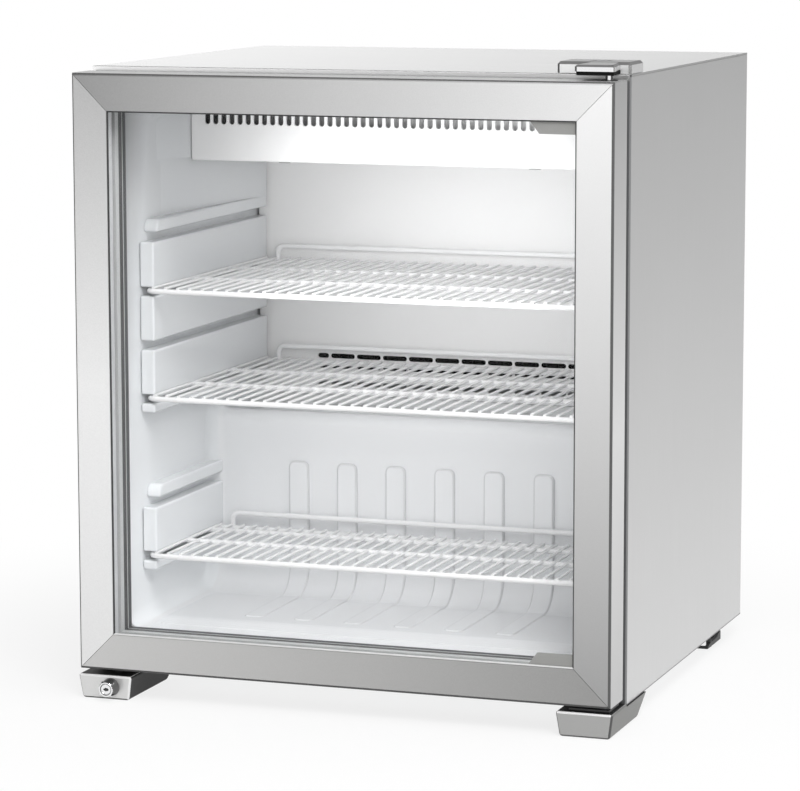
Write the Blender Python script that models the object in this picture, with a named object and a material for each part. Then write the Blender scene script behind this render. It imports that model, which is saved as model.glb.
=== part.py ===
"""Countertop freezer with a glass door, three wire shelves and a rear machine room.

Metres, +Z up, the door faces -Y. The origin is on the floor, midway across the width and the depth.
"""
import math

import bmesh
import bpy
from mathutils import Matrix, Vector

# Clearances
SEAT_GAP = 0.0003
RUN_GAP = 0.0005

# Cabinet
CABINET_WIDTH = 0.600
CABINET_HEIGHT = 0.6605
CABINET_DEPTH = 0.500
GROUND_CLEARANCE = 0.024
SHEET = 0.001
TRIM_DEPTH = 0.012

# Cold room, as wall thicknesses from the outside of the cabinet to the liner's white face
SIDE_WALL = 0.040
CEILING_WALL = 0.0465
FLOOR_WALL = 0.049
BACK_WALL = 0.051
LINER_SKIN = 0.0025
LOWER_ROOM_DEPTH = 0.227
LEDGE_RISE = 0.208
HUMP_FOAM = 0.050
LEDGE_FOAM = 0.045
HUMP_ROOT_RADIUS = 0.035
HUMP_EDGE_RADIUS = 0.012

# Shelf rails moulded into the liner
RAIL_DEPTH = 0.012
RAIL_SETBACK = 0.034
GROOVE_PITCH = 0.0593
GROOVE_HEIGHT = 0.010
UPPER_GROOVE_RISE = 0.241
UPPER_GROOVE_COUNT = 4
LOWER_GROOVE_RISE = 0.066
LOWER_GROOVE_COUNT = 2
TOP_RIDGE = 0.014
LOW_RIDGE = 0.010
RAIL_END_GAP = 0.002

# Ribs on the lower back wall
RIB_COUNT = 6
RIB_PITCH = 0.0585
RIB_WIDTH = 0.024
RIB_PROUD = 0.004
RIB_RISE = 0.148

# Shelves
SHELF_SIDE_PLAY = 0.0035
SHELF_SETBACK = 0.028
SHELF_REAR_GAP = 0.006
SHELF_WIRES = 35
RIM_WIRE = 0.005
GRID_WIRE = 0.0028
GUARD_RISE = 0.019
GUARD_INSET = 0.023

# Duct panel, air cover and evaporator
DUCT_DEPTH = 0.075
DUCT_PANEL = 0.002
DUCT_SIDE_GAP = 0.003
SLOT_ROWS = 2
SLOT_ROW_RISE = 0.012
SLOT_ROW_PITCH = 0.033
SLOT_LENGTH = 0.028
SLOT_SHORT = 0.013
SLOT_BAR = 0.0035
SLOT_HEIGHT = 0.0047
SLOT_COUNT = 11
COVER_SIDE_GAP = 0.018
COVER_SETBACK = 0.134
COVER_FRONT_HEIGHT = 0.063
COVER_REAR_HEIGHT = 0.080
COVER_WALL = 0.0025
OUTLET_MARGIN = 0.018
OUTLET_PITCH = 0.00965
OUTLET_WIDTH = 0.0062
OUTLET_RISE = 0.040
OUTLET_HEIGHT = 0.0185
COIL_SIDE_GAP = 0.070
COIL_DEPTH = 0.048
COIL_HEIGHT = 0.200
COIL_RISE = 0.019
COIL_FIN_COUNT = 26
FIN_THICKNESS = 0.0016
FIN_ROOT = 0.006
COIL_TUBE_RADIUS = 0.004
COIL_PASS_COUNT = 4
COOLER_FAN_RADIUS = 0.034
COOLER_FAN_DROP = 0.0405
COOLER_FAN_DEPTH = 0.012

# Fans and motors
FAN_TIP_GAP = 0.004
FAN_HUB_SHARE = 0.32
FAN_BLADE_COUNT = 5
FAN_BLADE_SHEET = 0.0016
FAN_BLADE_PITCH = math.radians(32)
FAN_BLADE_SINK = 0.002
FAN_FACE_GAP = 0.0005
MOTOR_SHAFT_RADIUS = 0.0025
MOTOR_RADIUS_SHARE = 0.38
MOTOR_BODY_LENGTH = 0.026
MOTOR_HUB_GAP = 0.003
STRAP_WIDTH = 0.014
STRAP_SHEET = 0.003
STRAP_LEG_GAP = 0.006

# Machine room
MACHINE_WALL_GAP = 0.014
GRILLE_RECESS = 0.020
COMPRESSOR_ROOM_GAP = 0.026
COMPRESSOR_HEIGHT = 0.150
COMPRESSOR_SIDE = 0.164
COMPRESSOR_EAR = 0.011
COMPRESSOR_SHAPE = ((0.7, 0.0), (0.94, 0.07), (1.0, 0.18), (1.0, 0.66), (0.95, 0.82), (0.74, 0.95),
                    (0.3, 1.0))
COMPRESSOR_PLATE = 0.003
COMPRESSOR_PLATE_RIM = 0.014
GROMMET_RADIUS = 0.009
GROMMET_HEIGHT = 0.011
RELAY_WIDTH = 0.026
RELAY_LENGTH = 0.050
RELAY_HEIGHT = 0.060
RELAY_RISE = 0.030
CONDENSER_WIDTH = 0.060
CONDENSER_HEIGHT = 0.170
CONDENSER_FIN_COUNT = 22
SHROUD_SHEET = 0.0015
ROOM_FAN_MARGIN = 0.015
ROOM_FAN_DEPTH = 0.022
PIPE_RADIUS = 0.004
PIPE_SPREAD = 0.030
PIPE_DROP = 0.075
PIPE_BEND = 0.090
DRIER_RADIUS = 0.009
DRIER_LENGTH = 0.090
TRAY_LENGTH = 0.170
TRAY_ROOM_GAP = 0.035
TRAY_DEPTH = 0.014
TRAY_WALL = 0.002
LOUVRE_COUNT = 9
LOUVRE_RISE = 0.021
LOUVRE_PITCH = 0.012
LOUVRE_HEIGHT = 0.005
LOUVRE_LENGTH = 0.150
LOUVRE_LEFT_INSET = 0.074
LOUVRE_RIGHT_INSET = 0.104
CONTROL_GAP = 0.015
CONTROL_WIDTH = 0.110
CONTROL_HEIGHT = 0.044
CONTROL_DEPTH = 0.030
CONTROL_DROP = 0.034
KNOB_RADIUS = 0.015
KNOB_HEIGHT = 0.014
KNOB_SKIRT = 0.0035
KNOB_GRIP_RADIUS = 0.013
KNOB_MARK = 0.002
KNOB_SPREAD = 0.028
KNOB_SHAFT_RADIUS = 0.003
SWITCH_WIDTH = 0.020
SWITCH_RADIUS = 0.0065
SWITCH_TILT = math.radians(9)
SWITCH_PROUD = 0.0026
SWITCH_WAIST = 0.0058
GLAND_INSET = 0.059
GLAND_RISE = 0.030
GLAND_BORE = 0.0045
GLAND_BODY = 0.008
GLAND_FLANGE = 0.012
GLAND_REACH = 0.010
GLAND_FLANGE_SHEET = 0.003

# Feet
FOOT_WIDTH = 0.058
FOOT_TAPER = 0.004
FOOT_FRONT_SETBACK = 0.001
FOOT_LENGTH = 0.134
FOOT_SOLE_LENGTH = 0.106
FOOT_DOOR_GAP = 0.006
FOOT_EDGE_RADIUS = 0.003
REAR_FOOT_WIDTH = 0.040
REAR_FOOT_LENGTH = 0.060
REAR_FOOT_INSET = 0.014
REAR_FOOT_BACKSET = 0.037
REAR_FOOT_SOLE = 0.007
REAR_POST_LENGTH = 0.028

# Door
DOOR_THICKNESS = 0.048
DOOR_GAP = 0.008
DOOR_BOTTOM_RISE = 0.009
DOOR_TOP_DROP = 0.0045
FRAME_FACE = 0.040
FRAME_BAR = 0.022
FRAME_LIP = 0.003
FRAME_EDGE_RADIUS = 0.004
LIP_EDGE_RADIUS = 0.001
PANE = 0.004
PANE_SPACING = 0.014
SPACER_INSET = 0.026
SPACER_WIDTH = 0.010
BEAD_FACE = 0.038
GASKET_OUTER_INSET = 0.016
GASKET_WIDTH = 0.018
GASKET_LIP = 0.003
CORNER_PLATE = 0.002
CORNER_PLATE_LENGTH = 0.082
CORNER_PLATE_SIGHT = 0.014
CORNER_PLATE_SLANT = 0.024
LIGHT_BAR_WIDTH = 0.008
LIGHT_BAR_DEPTH = 0.014
LIGHT_BAR_END = 0.080

# Hinges
HINGE_SIDE_INSET = 0.013
HINGE_DEPTH = 0.026
HINGE_PIN_RADIUS = 0.004
HINGE_PIN_REACH = 0.009
BUSH_RADIUS = 0.0065
BUSH_LENGTH = 0.010
HINGE_ARM_RISE = 0.0095
HINGE_BRACKET_HEIGHT = 0.012
HINGE_BASE_LENGTH = 0.073
HINGE_BASE_DEPTH = 0.049
HINGE_BASE_SETBACK = 0.012
HINGE_BASE_SIDE = 0.002
HINGE_CHAMFER = 0.003
HINGE_ARM_CHAMFER = 0.002
HINGE_CORNER = 0.002
HINGE_ARM_WIDTH = 0.044
HINGE_ARM_OVERHANG = 0.012
HINGE_ARM_SIDE = 0.003
HINGE_ARM_STEP = 0.0005
HINGE_PLATE = 0.003
HINGE_PLATE_LENGTH = 0.044
HINGE_PLATE_DEPTH = 0.036

# Lock in the left foot
LOCK_INSET = 0.036
LOCK_HEIGHT = 0.0145
LOCK_REACH = 0.014
LOCK_RING_RADIUS = 0.0095
LOCK_NOSE_RADIUS = 0.008
LOCK_BODY_RADIUS = 0.0075
LOCK_BODY_LENGTH = 0.016
LOCK_PLUG_RADIUS = 0.0055
LOCK_TAIL_RADIUS = 0.003
LOCK_TAIL_LENGTH = 0.003
KEY_WIDTH = 0.0055
KEY_HEIGHT = 0.0016
KEY_DEPTH = 0.006
BOLT_WIDTH = 0.009
BOLT_THICKNESS = 0.006
BOLT_LENGTH = 0.016
BOLT_TRAVEL = 0.011
POCKET_SIDE = 0.0125

# Places that follow from the sizes
HALF_WIDTH = CABINET_WIDTH / 2
DOOR_TO_BACK = DOOR_THICKNESS + DOOR_GAP + CABINET_DEPTH
OVERALL_DEPTH = DOOR_TO_BACK + LOCK_REACH - FOOT_FRONT_SETBACK
BACK = OVERALL_DEPTH / 2
CABINET_FRONT = BACK - CABINET_DEPTH
DOOR_BACK = CABINET_FRONT - DOOR_GAP
DOOR_FRONT = DOOR_BACK - DOOR_THICKNESS
BOTTOM = GROUND_CLEARANCE
TOP = BOTTOM + CABINET_HEIGHT
DOOR_BOTTOM = BOTTOM + DOOR_BOTTOM_RISE
DOOR_TOP = TOP - DOOR_TOP_DROP
BASE_TOP = BOTTOM + SHEET
PANEL_FRONT = CABINET_FRONT + TRIM_DEPTH + SEAT_GAP
INNER_HALF = HALF_WIDTH - SHEET - SEAT_GAP
INNER_TOP = TOP - SHEET - SEAT_GAP
ROOM_HALF = HALF_WIDTH - SIDE_WALL
ROOM_FRONT = CABINET_FRONT + SHEET + SEAT_GAP
ROOM_BACK = BACK - BACK_WALL
ROOM_FLOOR = BOTTOM + FLOOR_WALL
ROOM_CEILING = TOP - CEILING_WALL
HUMP_FACE = CABINET_FRONT + LOWER_ROOM_DEPTH
LEDGE = ROOM_FLOOR + LEDGE_RISE
MACHINE_FRONT = HUMP_FACE + LINER_SKIN + HUMP_FOAM
MACHINE_TOP = LEDGE - LINER_SKIN - LEDGE_FOAM
DUCT_FACE = ROOM_BACK - DUCT_DEPTH
DUCT_REAR = DUCT_FACE + DUCT_PANEL
COVER_HALF_WIDTH = ROOM_HALF - COVER_SIDE_GAP
OUTLET_COUNT = int(2 * (COVER_HALF_WIDTH - OUTLET_MARGIN) / OUTLET_PITCH) + 1
COIL_HALF_WIDTH = ROOM_HALF - COIL_SIDE_GAP
COVER_FRONT = CABINET_FRONT + COVER_SETBACK
COVER_BOTTOM = ROOM_CEILING - SEAT_GAP - COVER_FRONT_HEIGHT
COVER_REAR_BOTTOM = ROOM_CEILING - SEAT_GAP - COVER_REAR_HEIGHT
COOLER_FAN_Z = ROOM_CEILING - COOLER_FAN_DROP
GRILLE_REAR = BACK - GRILLE_RECESS
GRILLE_FRONT = GRILLE_REAR - SHEET
MACHINE_MID = (MACHINE_FRONT + GRILLE_FRONT) / 2
MACHINE_DEPTH = GRILLE_FRONT - MACHINE_FRONT
COMPRESSOR_RADIUS = MACHINE_DEPTH / 2 - COMPRESSOR_ROOM_GAP
COMPRESSOR_X = INNER_HALF - COMPRESSOR_SIDE
COMPRESSOR_PLATE_REACH = COMPRESSOR_RADIUS + COMPRESSOR_PLATE_RIM
CONDENSER_LENGTH = MACHINE_DEPTH - 2 * MACHINE_WALL_GAP
ROOM_FAN_RADIUS = min(CONDENSER_LENGTH, CONDENSER_HEIGHT) / 2 - ROOM_FAN_MARGIN
TRAY_WIDTH = MACHINE_DEPTH - 2 * TRAY_ROOM_GAP
LOUVRE_LEFT = -INNER_HALF + LOUVRE_LEFT_INSET
LOUVRE_RIGHT = INNER_HALF - LOUVRE_RIGHT_INSET - LOUVRE_LENGTH
HINGE_X = HALF_WIDTH - HINGE_SIDE_INSET
HINGE_Y = DOOR_FRONT + HINGE_DEPTH
FOOT_FRONT = DOOR_FRONT + FOOT_FRONT_SETBACK
FOOT_TOP = DOOR_BOTTOM - FOOT_DOOR_GAP
CONTROL_X = COMPRESSOR_X - TRAY_LENGTH / 2 - CONTROL_GAP - CONTROL_WIDTH / 2
CONTROL_Z = MACHINE_TOP - CONTROL_DROP
KNOB_X = CONTROL_X - KNOB_SPREAD
SWITCH_X = CONTROL_X + KNOB_SPREAD
GLAND_X = INNER_HALF - GLAND_INSET
GLAND_Z = BASE_TOP + GLAND_RISE
LOCK_X = -HALF_WIDTH + LOCK_INSET


def clear_scene():
    for item in list(bpy.data.objects):
        bpy.data.objects.remove(item, do_unlink=True)


def make_material(name, colour, roughness, metallic=0.0, alpha=1.0):
    material = bpy.data.materials.new(name)
    material.use_nodes = True
    shader = material.node_tree.nodes["Principled BSDF"]
    shader.inputs["Base Color"].default_value = (*colour, 1.0)
    shader.inputs["Roughness"].default_value = roughness
    shader.inputs["Metallic"].default_value = metallic
    shader.inputs["Alpha"].default_value = alpha
    return material


# Mesh makers: each returns a bmesh in world coordinates

def box(low, high):
    mesh = bmesh.new()
    bmesh.ops.create_cube(mesh, size=1.0)
    low = Vector(low)
    high = Vector(high)
    size = high - low
    middle = (low + high) / 2
    for vertex in mesh.verts:
        vertex.co = Vector((vertex.co.x * size.x, vertex.co.y * size.y, vertex.co.z * size.z)) + middle
    return mesh


def prism(outline, axis, start, end):
    """Extrude an outline of (a, b) points along an axis; a and b are the other two axes in order."""
    def point(pair, along):
        first, second = pair
        if axis == "X":
            return (along, first, second)
        if axis == "Y":
            return (first, along, second)
        return (first, second, along)

    mesh = bmesh.new()
    near = [mesh.verts.new(point(pair, start)) for pair in outline]
    far = [mesh.verts.new(point(pair, end)) for pair in outline]
    skin(mesh, [near, far])
    return mesh


def skin(mesh, loops, closed=False):
    """Join loops of vertices by quads, and cap the first and last loop unless the row closes."""
    pairs = list(zip(loops, loops[1:]))
    if closed:
        pairs.append((loops[-1], loops[0]))
    for one, two in pairs:
        count = len(one)
        for step in range(count):
            after = (step + 1) % count
            mesh.faces.new((one[step], one[after], two[after], two[step]))
    if not closed:
        mesh.faces.new(loops[0])
        mesh.faces.new(list(reversed(loops[-1])))
    bmesh.ops.recalc_face_normals(mesh, faces=mesh.faces)


def frame_ring(loops):
    """A closed ring through (rectangle, y) loops; a rectangle is x0, x1, z0, z1."""
    mesh = bmesh.new()
    rows = []
    for (x0, x1, z0, z1), y in loops:
        corners = ((x0, y, z0), (x1, y, z0), (x1, y, z1), (x0, y, z1))
        rows.append([mesh.verts.new(corner) for corner in corners])
    skin(mesh, rows, closed=True)
    return mesh


def inset(rectangle, amount):
    x0, x1, z0, z1 = rectangle
    return (x0 + amount, x1 - amount, z0 + amount, z1 - amount)


def turned(profile, centre, axis, sides, hollow=False):
    """Turn a profile of (radius, height) points about an axis; a solid starts and ends on the axis."""
    mesh = bmesh.new()
    rows = []
    for radius, height in profile:
        ring = []
        for step in range(sides):
            angle = 2 * math.pi * step / sides
            ring.append(mesh.verts.new((radius * math.cos(angle), radius * math.sin(angle), height)))
        rows.append(ring)
    skin(mesh, rows, closed=hollow)
    return aim(mesh, centre, axis)


def aim(mesh, centre, axis):
    """Turn a mesh that was built along +Z to point along the axis, and move it to its centre."""
    turn = Vector((0, 0, 1)).rotation_difference(Vector(axis)).to_matrix().to_4x4()
    bmesh.ops.transform(mesh, matrix=Matrix.Translation(centre) @ turn, verts=mesh.verts)
    return mesh


def drum(radius, low, high, centre, axis, sides):
    return turned([(radius, low), (radius, high)], centre, axis, sides)


def merged(meshes):
    """Put several meshes into one, as separate bodies."""
    whole = bmesh.new()
    for mesh in meshes:
        data = bpy.data.meshes.new("merge")
        mesh.to_mesh(data)
        mesh.free()
        whole.from_mesh(data)
        bpy.data.meshes.remove(data)
    return whole


def comb(length, height, teeth, tooth, root):
    """Outline of a row of upright teeth on a root strip, centred on zero along its length."""
    points = [(length / 2, 0.0), (-length / 2, 0.0)]
    pitch = (length - tooth) / (teeth - 1)
    for step in range(teeth):
        left = -length / 2 + step * pitch
        if step:
            points.append((left, root))
        points.append((left, height))
        points.append((left + tooth, height))
        if step < teeth - 1:
            points.append((left + tooth, root))
    return points


def arc(centre, radius, start, end, steps):
    points = []
    for step in range(steps + 1):
        angle = math.radians(start + (end - start) * step / steps)
        points.append((centre[0] + radius * math.cos(angle), centre[1] + radius * math.sin(angle)))
    return points


def smooth_route(points, steps=4):
    """Points along a smooth curve through the given ones."""
    knots = [Vector(point) for point in points]
    knots = [2 * knots[0] - knots[1]] + knots + [2 * knots[-1] - knots[-2]]
    route = []
    for a, b, c, d in zip(knots, knots[1:], knots[2:], knots[3:]):
        for step in range(steps):
            t = step / steps
            bend = (2 * a - 5 * b + 4 * c - d) * t * t + (3 * b - a - 3 * c + d) * t ** 3
            route.append((2 * b + (c - a) * t + bend) / 2)
    route.append(knots[-2])
    return route


# Object makers

def add(name, mesh, material, pivot=None, smooth=False):
    """Turn a world-space bmesh into a named object; a pivot is an empty or a point on a joint axis."""
    data = bpy.data.meshes.new(name)
    carrier = pivot if isinstance(pivot, bpy.types.Object) else None
    origin = Vector(carrier.location) if carrier else Vector(pivot or (0, 0, 0))
    bmesh.ops.translate(mesh, verts=mesh.verts, vec=-origin)
    mesh.to_mesh(data)
    mesh.free()
    data.materials.append(material)
    if smooth:
        data.shade_smooth()
        data.set_sharp_from_angle(angle=math.radians(40))
    item = bpy.data.objects.new(name, data)
    bpy.context.collection.objects.link(item)
    item.parent = carrier
    if not carrier:
        item.location = origin
    return item


def add_empty(name, place):
    item = bpy.data.objects.new(name, None)
    bpy.context.collection.objects.link(item)
    item.location = place
    return item


def combine(item, mesh, operation):
    """Cut a world-space mesh out of an object, or fuse it on."""
    data = bpy.data.meshes.new(item.name + "_tool")
    mesh.to_mesh(data)
    mesh.free()
    tool = bpy.data.objects.new(item.name + "_tool", data)
    bpy.context.collection.objects.link(tool)
    tool.hide_render = True
    tool.display_type = "WIRE"
    modifier = item.modifiers.new(operation.lower(), "BOOLEAN")
    modifier.operation = operation
    modifier.solver = "EXACT"
    modifier.object = tool


def cut(item, mesh):
    combine(item, mesh, "DIFFERENCE")


def fuse(item, mesh):
    combine(item, mesh, "UNION")


def add_pipe(name, points, radius, material, resolution=2):
    curve = bpy.data.curves.new(name, "CURVE")
    curve.dimensions = "3D"
    curve.bevel_depth = radius
    curve.bevel_resolution = resolution
    curve.use_fill_caps = True
    spline = curve.splines.new("POLY")
    spline.points.add(len(points) - 1)
    for place, point in zip(spline.points, points):
        place.co = (*point, 1.0)
    curve.materials.append(material)
    item = bpy.data.objects.new(name, curve)
    bpy.context.collection.objects.link(item)
    return item


clear_scene()
SILVER = make_material("silver_paint", (0.62, 0.62, 0.61), 0.38, 0.6)
STEEL = make_material("grey_steel", (0.58, 0.58, 0.58), 0.42, 0.7)
TRIM_GREY = make_material("trim_grey", (0.32, 0.33, 0.34), 0.5)
CHROME = make_material("chrome", (0.82, 0.82, 0.83), 0.12, 1.0)
WHITE = make_material("liner_white", (0.90, 0.91, 0.91), 0.35)
WIRE_WHITE = make_material("coated_wire", (0.92, 0.93, 0.93), 0.3)
FOAM = make_material("foam", (0.86, 0.80, 0.62), 0.9)
GLASS = make_material("glass", (0.93, 0.96, 0.95), 0.03, 0.0, 0.2)
ALUMINIUM = make_material("aluminium", (0.78, 0.79, 0.80), 0.35, 0.9)
COPPER = make_material("copper", (0.72, 0.42, 0.28), 0.35, 0.9)
RUBBER = make_material("gasket_rubber", (0.34, 0.35, 0.36), 0.7)
BLACK = make_material("black_plastic", (0.03, 0.03, 0.03), 0.5)
BLACK_PAINT = make_material("black_paint", (0.04, 0.04, 0.045), 0.4)
LIGHT = make_material("light_cover", (0.95, 0.95, 0.93), 0.4)
GALVANISED = make_material("galvanised", (0.55, 0.57, 0.58), 0.5, 0.7)


# Cabinet shell

CABINET_RECT = (-HALF_WIDTH, HALF_WIDTH, BOTTOM, TOP)
ROOM_RECT = (-ROOM_HALF, ROOM_HALF, ROOM_FLOOR, ROOM_CEILING)


def make_shell():
    for side, name in ((-1, "side_panel_left"), (1, "side_panel_right")):
        edges = sorted((side * HALF_WIDTH, side * (HALF_WIDTH - SHEET)))
        add(name, box((edges[0], PANEL_FRONT, BOTTOM), (edges[1], BACK, INNER_TOP)), STEEL)
    add("top_panel", box((-HALF_WIDTH, PANEL_FRONT, TOP - SHEET), (HALF_WIDTH, BACK, TOP)), STEEL)
    back_low = (-INNER_HALF, BACK - SHEET, MACHINE_TOP + SEAT_GAP)
    add("back_panel", box(back_low, (INNER_HALF, BACK, INNER_TOP)), GALVANISED)
    add("base_plate", box((-INNER_HALF, PANEL_FRONT, BOTTOM), (INNER_HALF, BACK, BASE_TOP)), GALVANISED)
    skirt = inset(CABINET_RECT, SHEET)
    trim_back = CABINET_FRONT + TRIM_DEPTH
    flange_back = CABINET_FRONT + SHEET
    loops = [(CABINET_RECT, CABINET_FRONT), (CABINET_RECT, trim_back), (skirt, trim_back),
             (skirt, flange_back), (ROOM_RECT, flange_back), (ROOM_RECT, CABINET_FRONT)]
    add("front_trim", frame_ring(loops), TRIM_GREY)


def room_outline(grow, front):
    """Side outline of the cold room over the machine room hump, grown by a skin thickness."""
    hump = HUMP_FACE + grow
    floor = ROOM_FLOOR - grow
    ledge = LEDGE - grow
    root = HUMP_ROOT_RADIUS + grow
    edge = max(HUMP_EDGE_RADIUS - grow, SEAT_GAP)
    outline = [(front, floor)]
    outline += arc((hump - root, floor + root), root, 270, 360, 5)
    outline += arc((hump + edge, ledge - edge), edge, 180, 90, 3)
    back = ROOM_BACK + grow
    ceiling = ROOM_CEILING + grow
    return outline + [(back, ledge), (back, ceiling), (front, ceiling)]


def rail_levels(first, grooves):
    """Heights of the rail blocks that leave the grooves open."""
    levels = [(first - LOW_RIDGE, first)]
    for step in range(grooves):
        low = first + step * GROOVE_PITCH + GROOVE_HEIGHT
        last = step == grooves - 1
        levels.append((low, low + TOP_RIDGE if last else first + (step + 1) * GROOVE_PITCH))
    return levels


UPPER_GROOVE = ROOM_FLOOR + UPPER_GROOVE_RISE
LOWER_GROOVE = ROOM_FLOOR + LOWER_GROOVE_RISE
EMBED = LINER_SKIN / 2


def liner_mouldings():
    """Shelf rails on both walls and ribs on the lower back wall, sunk a little into the skin."""
    pieces = []
    front = CABINET_FRONT + RAIL_SETBACK
    upper_end = DUCT_FACE - RAIL_END_GAP
    lower_end = HUMP_FACE + EMBED
    runs = [(level, upper_end) for level in rail_levels(UPPER_GROOVE, UPPER_GROOVE_COUNT)]
    runs += [(level, lower_end) for level in rail_levels(LOWER_GROOVE, LOWER_GROOVE_COUNT)]
    for side in (-1, 1):
        edges = sorted((side * (ROOM_HALF + EMBED), side * (ROOM_HALF - RAIL_DEPTH)))
        for (low, high), end in runs:
            pieces.append(box((edges[0], front, low), (edges[1], end, high)))
    for step in range(RIB_COUNT):
        middle = (step - (RIB_COUNT - 1) / 2) * RIB_PITCH
        half = RIB_WIDTH / 2
        foot = ROOM_FLOOR + HUMP_ROOT_RADIUS
        crown = ROOM_FLOOR + RIB_RISE - half
        outline = [(middle + half, foot)] + arc((middle, crown), half, 0, 180, 6) + [(middle - half, foot)]
        pieces.append(prism(outline, "Y", HUMP_FACE - RIB_PROUD, HUMP_FACE + EMBED))
    return merged(pieces)


def make_insulation():
    low = BASE_TOP + SEAT_GAP
    back = BACK - SHEET - SEAT_GAP
    outline = [(ROOM_FRONT, low), (MACHINE_FRONT, low), (MACHINE_FRONT, MACHINE_TOP), (back, MACHINE_TOP),
               (back, INNER_TOP), (ROOM_FRONT, INNER_TOP)]
    foam = add("insulation_foam", prism(outline, "X", -INNER_HALF, INNER_HALF), FOAM)
    around = LINER_SKIN + SEAT_GAP
    reach = ROOM_HALF + around
    cut(foam, prism(room_outline(around, CABINET_FRONT), "X", -reach, reach))


def make_liner():
    reach = ROOM_HALF + LINER_SKIN
    outside = prism(room_outline(LINER_SKIN, ROOM_FRONT), "X", -reach, reach)
    liner = add("inner_liner", outside, WHITE, smooth=True)
    cut(liner, prism(room_outline(0.0, CABINET_FRONT), "X", -ROOM_HALF, ROOM_HALF))
    fuse(liner, liner_mouldings())


# Shelves

def make_shelf(name, groove, rear):
    """A flat wire grid in a rim, with a guard wire along its rear edge."""
    half = ROOM_HALF - SHELF_SIDE_PLAY
    front = CABINET_FRONT + SHELF_SETBACK
    low = groove + SEAT_GAP
    high = low + RIM_WIRE
    pivot = (0.0, front, low)
    shelf = add(name, box((-half, front, low), (half, rear, high)), WIRE_WHITE, pivot)
    span = 2 * (half - RIM_WIRE)
    gap = (span - SHELF_WIRES * GRID_WIRE) / (SHELF_WIRES + 1)
    middle = (front + rear) / 2
    bays = ((front + RIM_WIRE, middle - RIM_WIRE / 2), (middle + RIM_WIRE / 2, rear - RIM_WIRE))
    holes = []
    for step in range(SHELF_WIRES + 1):
        left = -half + RIM_WIRE + step * (gap + GRID_WIRE)
        for start, end in bays:
            holes.append(box((left, start, low - RIM_WIRE), (left + gap, end, high + RIM_WIRE)))
    cut(shelf, merged(holes))
    guard = half - GUARD_INSET
    inner = guard - RIM_WIRE
    sink = RIM_WIRE / 2
    crest = high + GUARD_RISE
    root = high - sink
    under = crest - RIM_WIRE
    outline = [(-guard, root), (-guard, crest), (guard, crest), (guard, root), (inner, root), (inner, under),
               (-inner, under), (-inner, root)]
    fuse(shelf, prism(outline, "Y", rear - RIM_WIRE + SEAT_GAP, rear - SEAT_GAP))


def make_shelves():
    upper_rear = DUCT_FACE - SHELF_REAR_GAP
    lower_rear = HUMP_FACE - RIB_PROUD - SHELF_REAR_GAP / 2
    make_shelf("shelf_upper", UPPER_GROOVE + 2 * GROOVE_PITCH, upper_rear)
    make_shelf("shelf_middle", UPPER_GROOVE, upper_rear)
    make_shelf("shelf_lower", LOWER_GROOVE, lower_rear)


# Air duct, evaporator and its fan

def make_duct_panel():
    half = ROOM_HALF - DUCT_SIDE_GAP
    low = LEDGE + SEAT_GAP
    panel = add("duct_panel", box((-half, DUCT_FACE, low), (half, DUCT_REAR, ROOM_CEILING - SEAT_GAP)), WHITE)
    holes = []
    long_run = SLOT_COUNT * (SLOT_LENGTH + SLOT_BAR) - SLOT_BAR
    start = -(long_run + SLOT_BAR + SLOT_SHORT) / 2
    ends = [(start, start + SLOT_SHORT)]
    for step in range(SLOT_COUNT):
        left = start + SLOT_SHORT + SLOT_BAR + step * (SLOT_LENGTH + SLOT_BAR)
        ends.append((left, left + SLOT_LENGTH))
    for row in range(SLOT_ROWS):
        bottom = LEDGE + SLOT_ROW_RISE + row * SLOT_ROW_PITCH
        for left, right in ends:
            near = (left, DUCT_FACE - SHEET, bottom)
            far = (right, DUCT_REAR + SHEET, bottom + SLOT_HEIGHT)
            holes.append(box(near, far))
    reach = COOLER_FAN_RADIUS + FAN_TIP_GAP
    holes.append(drum(reach, -DUCT_PANEL, 2 * DUCT_PANEL, (0, DUCT_FACE, COOLER_FAN_Z), (0, 1, 0), 24))
    cut(panel, merged(holes))


def make_air_cover():
    """A hood under the ceiling, open at the top and the rear, with a row of outlet slots."""
    crown = ROOM_CEILING - SEAT_GAP
    rear = DUCT_FACE - SEAT_GAP
    outline = [(COVER_FRONT, COVER_BOTTOM), (rear, COVER_REAR_BOTTOM), (rear, crown), (COVER_FRONT, crown)]
    cover = add("air_cover", prism(outline, "X", -COVER_HALF_WIDTH, COVER_HALF_WIDTH), WHITE)
    fall = (COVER_BOTTOM - COVER_REAR_BOTTOM) / (rear - COVER_FRONT)
    front = COVER_FRONT + COVER_WALL
    past = rear + COVER_WALL
    hollow = [(front, COVER_BOTTOM + COVER_WALL - fall * COVER_WALL), (past, COVER_REAR_BOTTOM + COVER_WALL
              - fall * COVER_WALL), (past, crown + COVER_WALL), (front, crown + COVER_WALL)]
    reach = COVER_HALF_WIDTH - COVER_WALL
    cut(cover, prism(hollow, "X", -reach, reach))
    slots = []
    low = COVER_BOTTOM + OUTLET_RISE
    for step in range(OUTLET_COUNT):
        middle = (step - (OUTLET_COUNT - 1) / 2) * OUTLET_PITCH
        near = (middle - OUTLET_WIDTH / 2, COVER_FRONT - COVER_WALL, low)
        far = (middle + OUTLET_WIDTH / 2, COVER_FRONT + 2 * COVER_WALL, low + OUTLET_HEIGHT)
        slots.append(box(near, far))
    cut(cover, merged(slots))


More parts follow.
